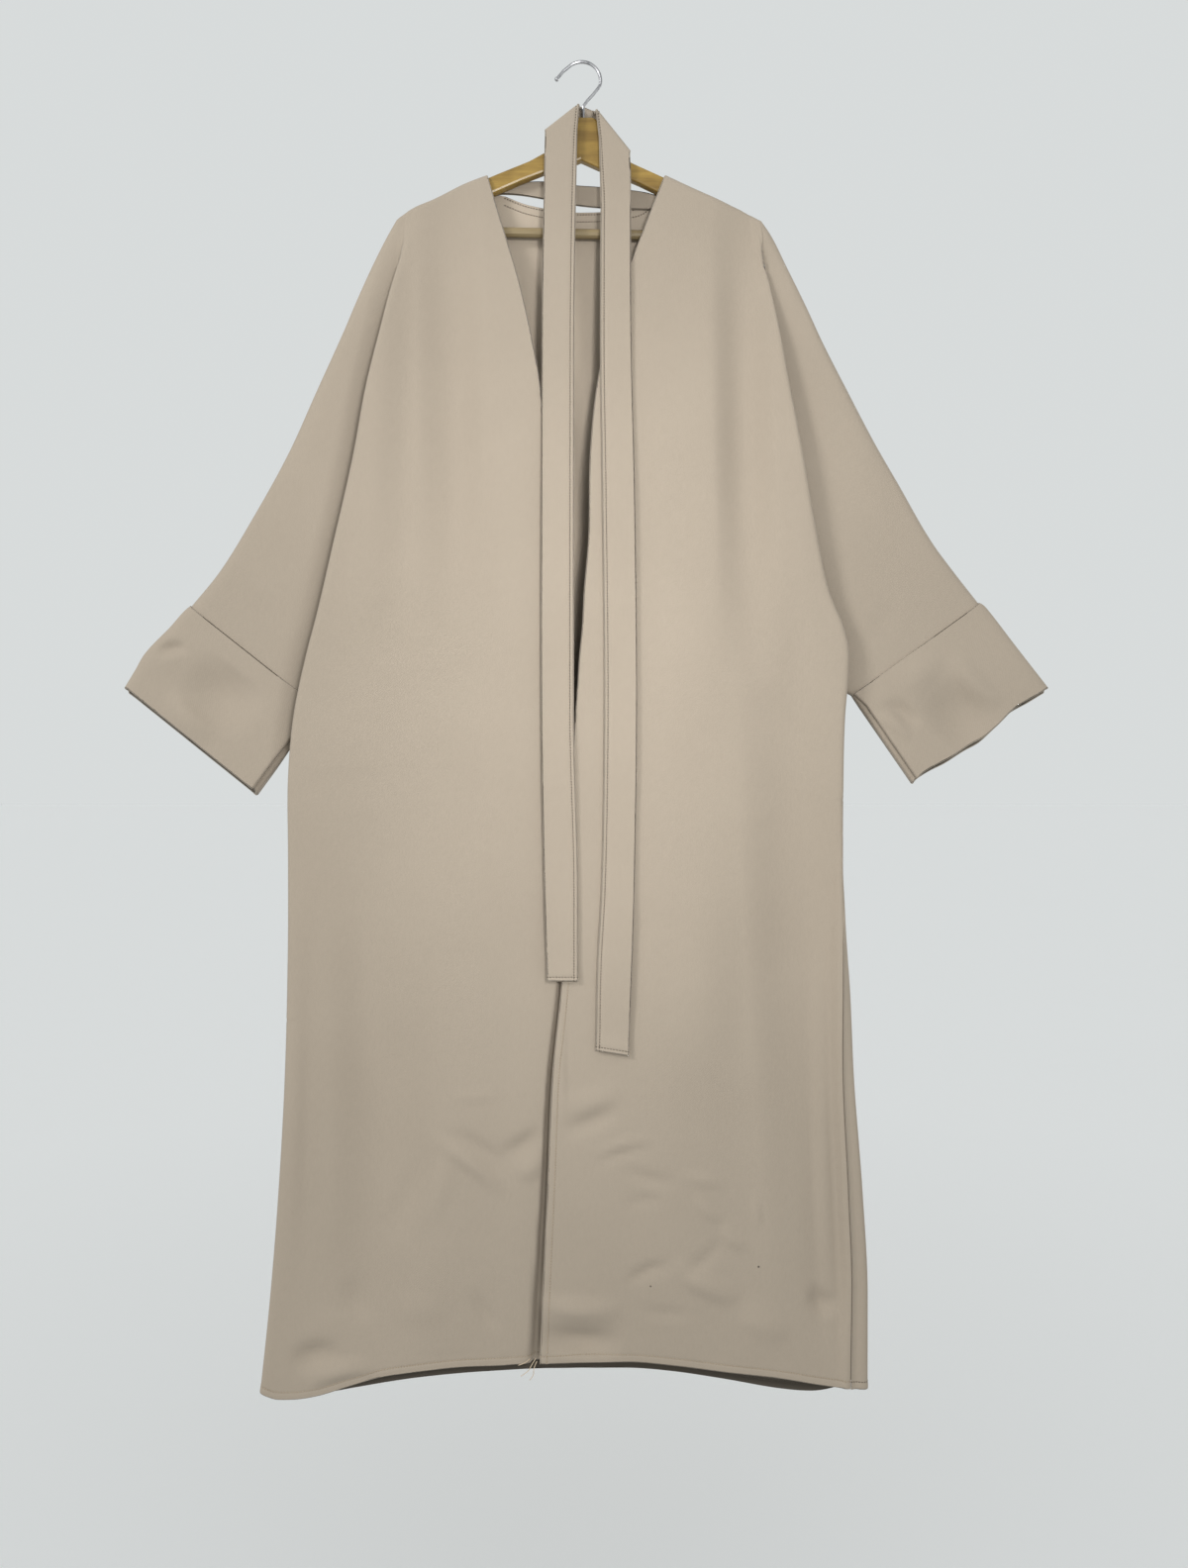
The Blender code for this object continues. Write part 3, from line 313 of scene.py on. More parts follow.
BACK_CREASES = (
    # the middle of the back, seen from the front through the neck
    (5, 205, 7, 720, 2, 10, -5), (-12, 215, -10, 760, -2, 9, 4), (22, 220, 20, 700, 2, 8, 3.5),
    (-58, 190, -52, 430, 3, 8, -3), (-46, 190, -43, 470, -2, 7, 1.6), (60, 190, 50, 380, 3, 10, 1.8),
    # wrinkles below
    (-120, 1180, 90, 1250, 12, 30, -2), (-110, 1150, 80, 1215, 12, 24, 1.6),
    (120, 1290, 240, 1240, -8, 20, 2.2), (130, 1320, 250, 1270, -8, 20, -2),
    (-260, 1330, -150, 1390, 8, 18, 2), (-240, 1300, -140, 1350, 8, 18, -1.8),
    (40, 1400, 110, 1440, 6, 16, -2.2), (-200, 560, -180, 1100, 8, 46, -4),
    (190, 620, 205, 1180, -6, 44, -4), (-110, 300, -100, 900, 6, 40, 2.6), (100, 280, 95, 860, -6, 40, 2.4),
)
CREASE_ENDS = 1.2  # bend of a crease's fall towards its ends
CREASE_FADE = 14.0  # creases fade out this near a seam
CREASED_BACK = 0.3  # the share of a cuff's creases that its back layer takes
CUFF_SMOOTH = 0.25  # creases grow in over this share of the cuff
CUFF_CREASES = (
    (-488, 688, -450, 680, -3, 11, -5.5), (-392, 704, -438, 764, 0, 54, -11),
    (-454, 662, -494, 716, 0, 26, 2.5), (-474, 732, -423, 787, 4, 20, 4.3),
    (460, 728, 412, 786, 0, 54, -11), (404, 674, 358, 730, 0, 34, 5.5), (349, 741, 390, 772, -3, 13, -5),
    (342, 757, 380, 788, -3, 10, 3), (426, 687, 482, 749, 4, 20, 4),
)
# Beside the body's fold the sleeve turns down and goes in behind it.
DIP = {LEFT: 9.0, RIGHT: 5.0}
DIP_REACH, DIP_RETURN, DIP_BEND = 26.0, 34.0, 1.3
DIP_START, DIP_RAMP, DIP_FADE, DIP_END, DIP_STEP = 190.0, 130.0, 12.0, 880.0, 20.0
LEAST_DEPTH = 1.8  # a layer isn't sunk nearer to the middle plane than this
# The left front sinks beside the right one's edge: a channel with steep walls.
CHANNEL = ("level", "depth", "width")
CHANNEL_ROWS = (
    (900, 0, 3), (1000, 5, 4.4), (1100, 6, 5.4), (1200, 8, 6.8), (1300, 8, 8.2), (1400, 8.6, 10),
    (1497, 9.4, 13),
)
CHANNEL_BEND = 8  # the higher, the flatter the channel's floor
# Below the underarm the side seam is a sunk line beside a soft ridge.
SEAM_RIDGE, SEAM_RIDGE_AT, SEAM_RIDGE_WIDTH = 1.2, 6.0, 3.5
SEAM_SINK, SEAM_SINK_WIDTH = 0.5, 2.5

# Sewn bands: how far in from the edge and the hem they are stitched, and how firm the front edge's is
EDGE_BAND, HEM_BAND, EDGE_FIRM = 8.0, 8.6, 0.35
STITCHED_BELOW, STITCH_FADE = 930.0, 120.0  # drop where the front edge's stitching starts
BAND_RISE, BAND_STEP, BAND_STEP_IN = 0.9, 0.5, 0.4  # how much thicker, and how softly that ends
GROOVE, GROOVE_WIDTH, BELT_GROOVE, BELT_GROOVE_WIDTH = 1.0, 0.9, 1.6, 1.1
NECK_STITCHES, NECK_STITCH_REACH = (2.8, 10.8), 0.094  # down from the neck's edge; to each side, in metres

# Painted shade: the inside of the back is painted darker towards the hem between these heights, in metres.
PAINTED_SHADE_HEIGHTS = (-1.38, -0.95)

# Loose ends of thread at the hem beside the right front's edge: x, y and drop along each.
LOOSE_THREADS = (
    ((-50, -37, 1486), (-55, -40, 1492), (-58, -41, 1499), (-67, -40, 1505)),
    ((-49, -38, 1489), (-53, -41, 1496), (-52, -42, 1503), (-57, -41, 1509)),
    ((-57, -34, 1488), (-62, -37, 1492), (-70, -37, 1494)),
)
LOOSE_THREAD = 0.4  # radius
# Dark flecks caught in the right front, in metres: place and radius. They reach deep into the cloth.
FLECK_SHAPE, FLECK_STRENGTH = (1, 0.05, 1), 0.85
FLECKS = (((0.0795, -0.034, -1.405), 0.0013), ((0.2029, -0.028, -1.3867), 0.0016))

# Stage, in metres
FLOOR_HALF = 60.0
# Painted shade: the floor is painted darker at the middle, under the cloak, growing pale outwards.
FLOOR_NEAR, FLOOR_FADE = 0.94, 2.6  # how pale the floor is at the middle, and where it is wholly pale
# Lamps: name, place, aim, width, height and how wide the beam spreads
LAMPS = (
    ("key_light", (-2.6, -2.3, 1.1), (0.0, 0.0, -0.7), 0.9, 0.9, math.pi),
    ("fill_light", (0.34, -1.6, -0.5), (0.0, 0.0, -0.7), 0.2, 0.2, math.pi),
    ("front_light", (0.16, -0.88, -0.66), (0.0, 0.0, -0.66), 0.16, 0.8, math.radians(56)),
    ("back_light", (2.8, 2.6, 0.6), (0.0, 0.0, -0.7), 0.9, 0.9, math.pi),
)

# Noises of the finishes: scale, detail, roughness and how far each axis is stretched
CLOUDS, GRAIN, NAP = (7.0, 3.0, 0.55), (900.0, 2.0, 0.6), (260.0, 3.0, 0.65, (1.0, 0.35, 1.0))
STRANDS_OF_THREAD, WORN_THREAD = (1800.0, 2.0, 0.5), (30.0, 1.0, 0.5)
WOOD_BANDS, RUBBED_WOOD = (1.0, 4.0, 0.6, (6.0, 55.0, 55.0)), (28.0, 3.0, 0.6)
WOOD_PORES = (1.0, 3.0, 0.6, (40.0, 900.0, 900.0))
WIRE_MARKS, WIRE_SPOTS = (1.0, 3.0, 0.6, (900.0, 900.0, 120.0)), (160.0, 3.0, 0.6)
FLOOR_CLOUDS = (1.2, 3.0, 0.5)
NOISE_LOW, NOISE_HIGH = 0.3, 0.7  # the range that most of a noise lies in
# How far each pattern shades the cloth, and the depth and strength of each bump
CLOUD_SHADE, NAP_SHADE, GRAIN_SHADE, TWILL_SHADE = (-0.12, 0.12), (-0.12, 0.12), (-0.16, 0.16), (0.42, 0.58)
NAP_BUMP, GRAIN_BUMP, THREAD_BUMP = (0.0003, 0.55), (0.00012, 0.4), (0.0001, 0.5)
WOOD_BUMP, WIRE_BUMP, FLOOR_BUMP = (0.0002, 0.35), (0.00006, 0.3), (0.001, 0.1)
TWILL = {"Scale": 210.0, "Distortion": 1.4, "Detail": 1.0, "Detail Scale": 3.0}
# Inputs of the stitches' nodes: name, kind and value
STITCH_INPUTS = (
    ("Geometry", "Geometry", None), ("Pitch", "Float", 0.0032), ("Stitch length", "Float", 0.0023),
    ("Thread", "Float", 0.0005), ("Wander", "Float", 0.06), ("Seed", "Int", 4), ("Look", "Material", None),
)


def curve(rows, names, name, at):
    """Value of the named column at a place, or at many, on a smooth curve through the rows."""
    table = np.array(rows, float)
    keys, values = table[:, 0], table[:, names.index(name)]
    at = np.clip(at, keys[0], keys[-1])
    steps = np.diff(values) / np.diff(keys)
    slopes = np.concatenate([[steps[0]], (steps[1:] + steps[:-1]) / 2, [steps[-1]]])
    slopes[1:-1][steps[1:] * steps[:-1] <= 0] = 0
    i = np.clip(np.searchsorted(keys, at, side="right") - 1, 0, len(keys) - 2)
    width = keys[i + 1] - keys[i]
    t = (at - keys[i]) / width
    ease = t * t * (3 - 2 * t)
    pull = t * (1 - t) * width
    return values[i] + (values[i + 1] - values[i]) * ease + pull * ((1 - t) * slopes[i] - t * slopes[i + 1])


def side_at(side, name, level):
    """Value of a side's own table at a level."""
    return curve(SIDES[side]["side"], SIDE, name, level)


def unit(vectors):
    """The vectors at a length of 1, and those without a length left at 0."""
    return vectors / np.maximum(np.linalg.norm(vectors, axis=-1), TINY)[..., None]


def bell(distance, width):
    """1 where the distance is 0, and falling smoothly to 0 past the width."""
    return np.exp(-((distance / width) ** 2))


def ridge(aside, half_width):
    """1 on the line, falling smoothly to 0 at the half width."""
    return (1 - np.clip(aside / half_width, -1, 1) ** 2) ** 2


def rounded(points, bends):
    """The path through the points with each corner rounded over at most its bend each way."""
    points = [np.array(point, float) for point in points]
    path = [points[0]]
    bends = np.broadcast_to(bends, len(points) - 2)
    for before, corner, after, bend in zip(points, points[1:], points[2:], bends):
        run_in, run_out = before - corner, after - corner
        length_in, length_out = np.linalg.norm(run_in), np.linalg.norm(run_out)
        if min(length_in, length_out) < SAME_PLACE:
            continue
        start = corner + run_in * min(bend / length_in, 0.5)
        end = corner + run_out * min(bend / length_out, 0.5)
        for t in np.linspace(0, 1, BEND_STEPS + 1):
            path.append((1 - t) ** 2 * start + 2 * t * (1 - t) * corner + t * t * end)
    path.append(points[-1])
    return np.array(path)


def lengths(path):
    """Running length along the path."""
    return np.concatenate([[0], np.cumsum(np.linalg.norm(np.diff(path, axis=0), axis=1))])


def along(path, places, run=None):
    """Points of the path at these running lengths."""
    run = lengths(path) if run is None else run
    return np.stack([np.interp(places, run, path[:, axis]) for axis in range(3)], axis=1)


def cut(path, start, end):
    """The stretch of the path between two running lengths."""
    run = lengths(path)
    inside = path[(run > start + SAME_PLACE) & (run < end - SAME_PLACE)]
    return np.concatenate([along(path, [start]), inside, along(path, [end])])


def spread(path, count):
    """count + 1 points along the path, closer together where it turns."""
    fine = along(path, np.linspace(0, lengths(path)[-1], FINE_POINTS))
    runs = np.diff(fine, axis=0)
    measure = np.linalg.norm(runs, axis=1)
    headings = runs / np.maximum(measure, SAME_PLACE)[:, None]
    turns = np.arccos(np.clip((headings[1:] * headings[:-1]).sum(axis=1), -1, 1))
    measure[1:] += TURN_WEIGHT * turns / 2
    measure[:-1] += TURN_WEIGHT * turns / 2
    total = np.concatenate([[0], np.cumsum(measure)])
    return along(fine, np.linspace(0, total[-1], count + 1), total)


def sample(path, count, near=(0,)):
    """Points of a path that ends at a seam: at fixed places near both ends, and spread between them."""
    total = lengths(path)[-1]
    middle = spread(cut(path, near[-1], total - SEAM_STEPS[0]), count)
    start, end = along(path, np.array(near[:-1])), along(path, total - np.array(SEAM_STEPS[1:]))
    return np.concatenate([start, middle, end])


def fold_depth(folds, level, out):
    """How far the long folds sink the cloth at these places."""
    total = np.zeros(np.shape(out))
    for start, end, out_start, out_end, half_width, depth in folds:
        share = (level - start) / (end - start)
        if 0 < share < 1:
            aside = out - out_start - (out_end - out_start) * share
            total += depth * ridge(aside, half_width) * math.sin(math.pi * share) ** 0.5
    return total


def drop_at(side, level, out, back):
    """Drop of points of a row. `back` is 0 on the front, 1 on the back and between them at the side."""
    shape = SIDES[side]
    out = np.asarray(out, float)
    fade = max(1 - (level - NECK_LEVEL) / (SHOULDER_END - NECK_LEVEL), 0.0) ** LEVEL_FADE
    extra = np.where(out > shape["neck_out"], curve(shape["top"], TOP, "extra", out), 0.0)
    if back > 0.5:
        at_neck = curve(shape["neck"], TOP, "extra", np.maximum(out, 0.0))
        extra = np.where(out < shape["neck_out"], at_neck, extra)
    grow = max((level - HEM_START) / (HEM_LEVEL - HEM_START), 0.0) ** LEVEL_FADE
    front_hem, back_hem = (curve(shape["hem"], HEM, name, out) for name in ("front", "back"))
    return level + extra * fade + grow * (front_hem + (back_hem - front_hem) * back)


def depth_at(face, level, name):
    """Signed y of a layer."""
    return face * curve(FRONT_DEPTH if face == FRONT else BACK_DEPTH, DEPTH, name, level)


def body_face(face, side, level, places):
    """Points of the body's outer layer at these distances out."""
    folds = SIDES[side]["folds"] if face == FRONT else BACK_FOLDS
    middle, fold = depth_at(face, level, "middle"), depth_at(face, level, "fold")
    if face == FRONT and side == RIGHT:
        middle -= curve(OVERLAP_ROWS, OVERLAP, "forward", level)
    inner = side_at(side, "middle", level) if face == FRONT else 0.0
    share = np.clip((places - inner) / (side_at(side, "fold", level) - inner), 0, 1)
    y = middle + (fold - middle) * share**2 - face * fold_depth(folds, level, places)
    return np.stack([places, y, drop_at(side, level, places, float(face == BACK))], axis=1)


def neck_points(side, level):
    """The back's points from its middle out to just inside the neck point."""
    return body_face(BACK, side, level, SIDES[side]["neck_out"] * np.array(NECK_COLUMNS))


def row_places(side, level):
    """The fold's and the valley's distance out."""
    fold = side_at(side, "fold", level)
    return fold, fold - side_at(side, "lap", level)


def body_path(face, side, level, start):
    """A row's path over the body, from `start` out to the fold, in behind it and to the valley's middle."""
    fold, valley = row_places(side, level)
    fold_y, tuck_y, valley_y = (depth_at(face, level, name) for name in ("fold", "tuck", "valley"))
    if level <= UNDERARM_LEVEL:
        valley_y = face * max(abs(valley_y), SIDE_SEAM_GAP / 2)
    back = float(face == BACK)
    drop, inner_drop = (float(drop_at(side, level, out, back)) for out in (fold, valley))
    seam_drop = inner_drop if level < UNDERARM_LEVEL else float(drop_at(side, level, valley, 0.5))
    points = list(body_face(face, side, level, np.linspace(start, fold - FOLD_BEND, FACE_POINTS)))
    points += [(fold, fold_y, drop), (fold, tuck_y, drop)]
    points += [(valley, tuck_y, inner_drop), (valley, valley_y, seam_drop)]
    return rounded(points, FOLD_BEND)


def sleeve_path(face, start, end, depth):
    """A row's path over one face of a sleeve, from its inner end to the over-arm seam."""
    (inner_out, _, inner_drop), (outer_out, outer_drop) = start, end
    points = [start, (inner_out, face * depth, inner_drop), (outer_out, face * depth, outer_drop)]
    points.append((outer_out, face * ARM_SEAM_GAP / 2, outer_drop))
    return rounded(points, FOLD_BEND)


def over_arm(side, drop):
    """Point of the over-arm seam at a drop."""
    return float(curve(SIDES[side]["arm"], ARM, "out", drop)), float(drop)


def flatten_top(points, face, side, level):
    """Draws the top rows in to the seam over the hanger's arm."""
    below = np.full(len(points), level)
    if face == BACK:
        below = np.where(points[:, 0] < SIDES[side]["neck_out"], points[:, 2], level)
    ramp = np.sqrt(1 - (1 - np.clip((below - NECK_LEVEL) / ARM_ROUND, 0, 1)) ** 2)
    points[:, 1] = face * np.maximum(np.abs(points[:, 1]) * ramp, ARM_SEAM_GAP / 2)
    return points


def upper_row(face, side, level):
    """One row above the underarm: the body's points up to the valley, and the sleeve's from there on."""
    if face == FRONT:
        path = body_path(face, side, level, side_at(side, "middle", level))
        body = sample(path, BODY_COLUMNS, EDGE_STEPS)
    else:
        path = body_path(face, side, level, SIDES[side]["neck_out"])
        body = np.concatenate([neck_points(side, level), sample(path, SHOULDER_COLUMNS)])
    end = over_arm(side, side_at(side, "arm", level))
    path = sleeve_path(face, tuple(body[-1]), end, abs(depth_at(face, level, "sleeve")))
    sleeve = sample(path, SLEEVE_COLUMNS)
    return flatten_top(body, face, side, level), flatten_top(sleeve, face, side, level)


def tube_row(side, level):
    """One row below the underarm: the front's points up to the side seam, and the back's up to it."""
    front = body_path(FRONT, side, level, side_at(side, "middle", level))
    back = body_path(BACK, side, level, SIDES[side]["neck_out"])
    ring = np.concatenate([front, back[::-1]])
    seam = lengths(front)[-1] + side_at(side, "seam", level)
    front = cut(ring, 0, seam - SIDE_SEAM_GAP / 2)
    outer = cut(ring, seam + SIDE_SEAM_GAP / 2, lengths(ring)[-1])[::-1]
    back = np.concatenate([neck_points(side, level), sample(outer, SHOULDER_COLUMNS)])
    return sample(front, BODY_COLUMNS, EDGE_STEPS), back


def sleeve_row(face, side, share):
    """One row of the sleeve beyond the underarm, `share` of the way from there to the cuff seam."""
    _, valley = row_places(side, UNDERARM_LEVEL)
    start, end = np.array((float(valley), UNDERARM_LEVEL)), np.array(CUFF[side]["inner"])
    bend = start + UNDERARM_CURVE
    inner = (1 - share) ** 2 * start + 2 * share * (1 - share) * bend + share**2 * end
    arm = side_at(side, "arm", UNDERARM_LEVEL)
    outer = over_arm(side, arm + (CUFF[side]["outer"][1] - arm) * share)
    depth = abs(depth_at(face, UNDERARM_LEVEL, "sleeve"))
    path = sleeve_path(face, (inner[0], face * SIDE_SEAM_GAP / 2, inner[1]), outer, depth)
    return sample(path, SLEEVE_COLUMNS)


def levels():
    """Levels of the rows above the underarm, and of those below it."""
    top, bottom = NECK_LEVEL + np.array(TOP_STEPS), HEM_LEVEL - np.array(HEM_STEPS)
    upper = np.concatenate([top[:-1], np.linspace(top[-1], UNDERARM_LEVEL, UPPER_ROWS)])
    lower = np.concatenate([np.linspace(UNDERARM_LEVEL, bottom[0], LOWER_ROWS)[1:], bottom[1:]])
    return upper, lower


def face_grids(face, side):
    """Grids of one side's body and sleeve on one face, out, y and drop of every point, and the row of
    the underarm."""
    upper_levels, lower_levels = levels()
    upper = [upper_row(face, side, level) for level in upper_levels]
    body = [row for row, _ in upper] + [tube_row(side, level)[int(face == BACK)] for level in lower_levels]
    sleeve = [row for _, row in upper] + [sleeve_row(face, side, share) for share in SLEEVE_SHARES]
    return np.array(body), np.array(sleeve), len(upper)


def to_world(grid, side=1):
    """Points given as out or x, y and drop, as a list in metres in the part's frame."""
    return np.asarray(grid).reshape(-1, 3) * (side * MM, MM, -MM)


def steps_between(grid, axis):
    """Running length along the grid's rows (axis 1) or columns (axis 0), from its start."""
    run = np.linalg.norm(np.diff(grid, axis=axis), axis=2)
    shape = list(run.shape)
    shape[axis] = 1
    return np.concatenate([np.zeros(shape), np.cumsum(run, axis=axis)], axis=axis)


def reverse_run(run, axis):
    """The running length from the other end."""
    return np.take(run, [-1], axis=axis) - run


def numbered(grid, start=0):
    """Vertex numbers of the grid's points."""
    return start + np.arange(grid[..., 0].size).reshape(grid.shape[:2])


def paired(first, second):
    """Two measures of every point of a grid as its place on the flat cloth."""
    return np.stack([first, second], axis=2).reshape(-1, 2)


def grid_quads(indices):
    """Quads between neighbouring rows and columns of a grid of vertex numbers."""
    corners = (indices[:-1, :-1], indices[1:, :-1], indices[1:, 1:], indices[:-1, 1:])
    return np.stack([corner.ravel() for corner in corners], axis=1)


def crease_field(creases, grid, side=1):
    """How far the creases lift the cloth at the grid's points."""
    x, drop = side * grid[..., 0], grid[..., 2]
    total = np.zeros(x.shape)
    for x_start, drop_start, x_end, drop_end, bow, half_width, height in creases:
        run = np.array((x_end - x_start, drop_end - drop_start), float)
        length = np.linalg.norm(run)
        run /= length
        share = ((x - x_start) * run[0] + (drop - drop_start) * run[1]) / length
        aside = (x - x_start) * -run[1] + (drop - drop_start) * run[0]
        inside = np.clip(share, 0, 1)
        aside -= bow * 4 * inside * (1 - inside)
        total += height * ridge(aside, half_width) * np.sin(math.pi * inside) ** CREASE_ENDS
    return total


def vertex_normals(points, quads):
    """The way out of the cloth's face at each point."""
    a, b, c, d = (points[quads[:, i]] for i in range(4))
    faces = unit(np.cross(c - a, d - b))
    normals = np.zeros(points.shape)
    for i in range(4):
        np.add.at(normals, quads[:, i], faces)
    return unit(normals)


def edge_directions(points, quads, normals):
    """The free edges, each run with the cloth on its left, and the way out of the cloth at their points."""
    runs = np.concatenate([np.stack([quads[:, i], quads[:, (i + 1) % 4]], axis=1) for i in range(4)])
    _, first, count = np.unique(np.sort(runs, axis=1), axis=0, return_index=True, return_counts=True)
    free = runs[first[count == 1]]
    outward = np.zeros(points.shape)
    run = unit(points[free[:, 1]] - points[free[:, 0]])
    for i in range(2):
        np.add.at(outward, free[:, i], np.cross(run, normals[free[:, i]]))
    return free, unit(outward)


def put_in_scene(name, data):
    """A new object of this mesh, curve, lamp or camera, linked to the scene."""
    made = bpy.data.objects.new(name, data)
    bpy.context.scene.collection.objects.link(made)
    return made


def as_mesh(guide):
    """The shape that a guide takes, as a plain mesh. The guide itself is removed."""
    graph = bpy.context.evaluated_depsgraph_get()
    mesh = bpy.data.meshes.new_from_object(guide.evaluated_get(graph))
    bpy.data.objects.remove(guide)
    return mesh


def shell(name, points, quads, thick, cloth_uv, look, inside=None):
    """A closed wall of cloth round a middle surface, its free edges rounded, and its outer points."""
    used, quads = np.unique(quads, return_inverse=True)
    quads = quads.reshape(-1, 4)
    thick = np.broadcast_to(thick, len(points))[used]
    points, cloth_uv = points[used], cloth_uv[used] * MM
    normals = vertex_normals(points, quads)
    free, outward = edge_directions(points, quads, normals)
    half = (thick * MM / 2)[:, None]
    base = points - outward * half
    rim = np.unique(free)
    count = len(points)
    place = np.full(count, -1)
    place[rim] = np.arange(len(rim))
    layers = [base + normals * half, base - normals * half]
    for turn in np.radians(RIM_TURNS):
        layers.append((base + (outward * math.sin(turn) + normals * math.cos(turn)) * half)[rim])
    loops = [free]
    loops += [2 * count + i * len(rim) + place[free] for i in range(len(RIM_TURNS))]
    loops.append(free + count)
    corners = [quads, quads[:, ::-1] + count]
    for upper, lower in zip(loops, loops[1:]):
        corners.append(np.stack([upper[:, 1], upper[:, 0], lower[:, 0], lower[:, 1]], axis=1))
    corners = np.concatenate(corners)
    mesh = bpy.data.meshes.new(name)
    mesh.from_pydata(np.concatenate(layers).tolist(), [], corners.tolist())
    mesh.validate()
    mesh.materials.append(look)
    mesh.shade_smooth()
    uv = np.concatenate([cloth_uv, cloth_uv] + [cloth_uv[rim]] * len(RIM_TURNS))
    layer = mesh.uv_layers.new(name="cloth")
    layer.data.foreach_set("uv", uv[corners.ravel()].astype(np.float32).ravel())
    if inside is not None:
        mesh.materials.append(inside)
        looks = np.zeros(len(corners), np.int32)
        looks[len(quads) : 2 * len(quads)] = 1
        mesh.polygons.foreach_set("material_index", looks)
    outer = np.zeros((used[-1] + 1, 3))
    outer[used] = layers[0]
    return put_in_scene(name, mesh), outer


def hem_bands(run_edge, run_hem, wall, firm_edge=1):
    """Thickness near a stitched edge: a doubled band with a groove along its stitching."""
    thick = np.full(run_edge.shape, wall)
    for run, band, firm in ((run_edge, EDGE_BAND, firm_edge), (run_hem, HEM_BAND, 1)):
        thick += firm * BAND_RISE / (1 + np.exp((run - band + BAND_STEP_IN) / BAND_STEP))
        thick -= firm * GROOVE * bell(run - band, GROOVE_WIDTH)
    return thick


def crease(grid, face, side, seam_run):
    """Lifts and sinks the body's cloth by its creases, and puckers it along the seam."""
    creases = FRONT_CREASES if face == FRONT else BACK_CREASES
    lift = crease_field(creases, grid, side) * np.clip(seam_run / CREASE_FADE, 0, 1)
    pucker = SEAM_RIDGE * bell(seam_run - SEAM_RIDGE_AT, SEAM_RIDGE_WIDTH)
    pucker -= SEAM_SINK * bell(seam_run, SEAM_SINK_WIDTH)
    grid[..., 1] += face * (lift + np.where(grid[..., 2] > UNDERARM_LEVEL, pucker, 0))
    return grid


def beside_fold(grid, side, run):
    """Turns the sleeve down where it comes out from behind the body's fold."""
    rows = np.arange(NECK_LEVEL, DIP_END, DIP_STEP)
    outs = [row_places(side, level)[0] for level in rows]
    drops = [float(drop_at(side, level, out, 0.0)) for level, out in zip(rows, outs)]
    aside = grid[..., 0] - np.interp(grid[..., 2], drops, outs)
    outside = np.clip(1 - aside / DIP_REACH, 0, 1) ** DIP_BEND
    near = np.where(aside > 0, outside, np.clip(1 + aside / DIP_RETURN, 0, 1))
    dip = DIP[side] * near * np.clip((grid[..., 2] - DIP_START) / DIP_RAMP, 0, 1)
    depth = np.abs(grid[..., 1])
    sunk = np.maximum(depth - dip * np.clip(run / DIP_FADE, 0, 1), np.minimum(depth, LEAST_DEPTH))
    grid[..., 1] = np.sign(grid[..., 1]) * sunk
    return grid


def crease_sleeve(grid, face, side):
    """Dips the sleeve beside the body and creases it, less so near its seams."""
    run = steps_between(grid, 1)
    grid = beside_fold(grid, side, run)
    fade = np.clip(run / CREASE_FADE, 0, 1) * np.clip(reverse_run(run, 1) / CREASE_FADE, 0, 1)
    grid[..., 1] += face * crease_field(SLEEVE_CREASES, grid, side) * fade
    return grid


def lap_channel(body):
    """Sinks the left front beside the right front's edge."""
    rows = np.concatenate(levels())[:, None]
    depth, width = (curve(CHANNEL_ROWS, CHANNEL, name, rows) for name in ("depth", "width"))
    across = np.clip((-body[..., 0] - side_at(RIGHT, "middle", rows)) / width, -1, 1)
    body[..., 1] += depth * (1 - across**CHANNEL_BEND) ** 2
    return body


def front_sheet(side, sizes, look):
    """One front with its half of the sleeve. Returns the object and the outer grid with its runs."""
    body, sleeve, upper = face_grids(FRONT, side)
    run_edge, run_hem = steps_between(body, 1), reverse_run(steps_between(body, 0), 0)
    body = crease(body, FRONT, side, reverse_run(run_edge, 1))
    if side == LEFT:
        body = lap_channel(body)
    sleeve = crease_sleeve(sleeve, FRONT, side)
    body_index = numbered(body)
    sleeve_index = numbered(sleeve, body_index.size)
    sleeve_index[:upper, 0] = body_index[:upper, -1]
    quads = np.concatenate([grid_quads(body_index), grid_quads(sleeve_index)])[:, ::side]
    firm = EDGE_FIRM * np.clip((body[..., 2] - STITCHED_BELOW) / STITCH_FADE, 0, 1)
    thick = hem_bands(run_edge, run_hem, sizes.wall / MM, firm).ravel()
    thick = np.concatenate([thick, np.full(sleeve[..., 0].size, sizes.wall / MM)])
    body_uv = paired(side * (body[:, :1, 0] + run_edge), body[..., 2])
    uv = np.concatenate([body_uv, paired(side * sleeve[..., 0], sleeve[..., 2])])
    points = np.concatenate([to_world(body, side), to_world(sleeve, side)])
    made, outer = shell("cloth_front_" + SIDE_NAMES[side], points, quads, thick, uv, look)
    return made, outer[body_index], run_edge, run_hem


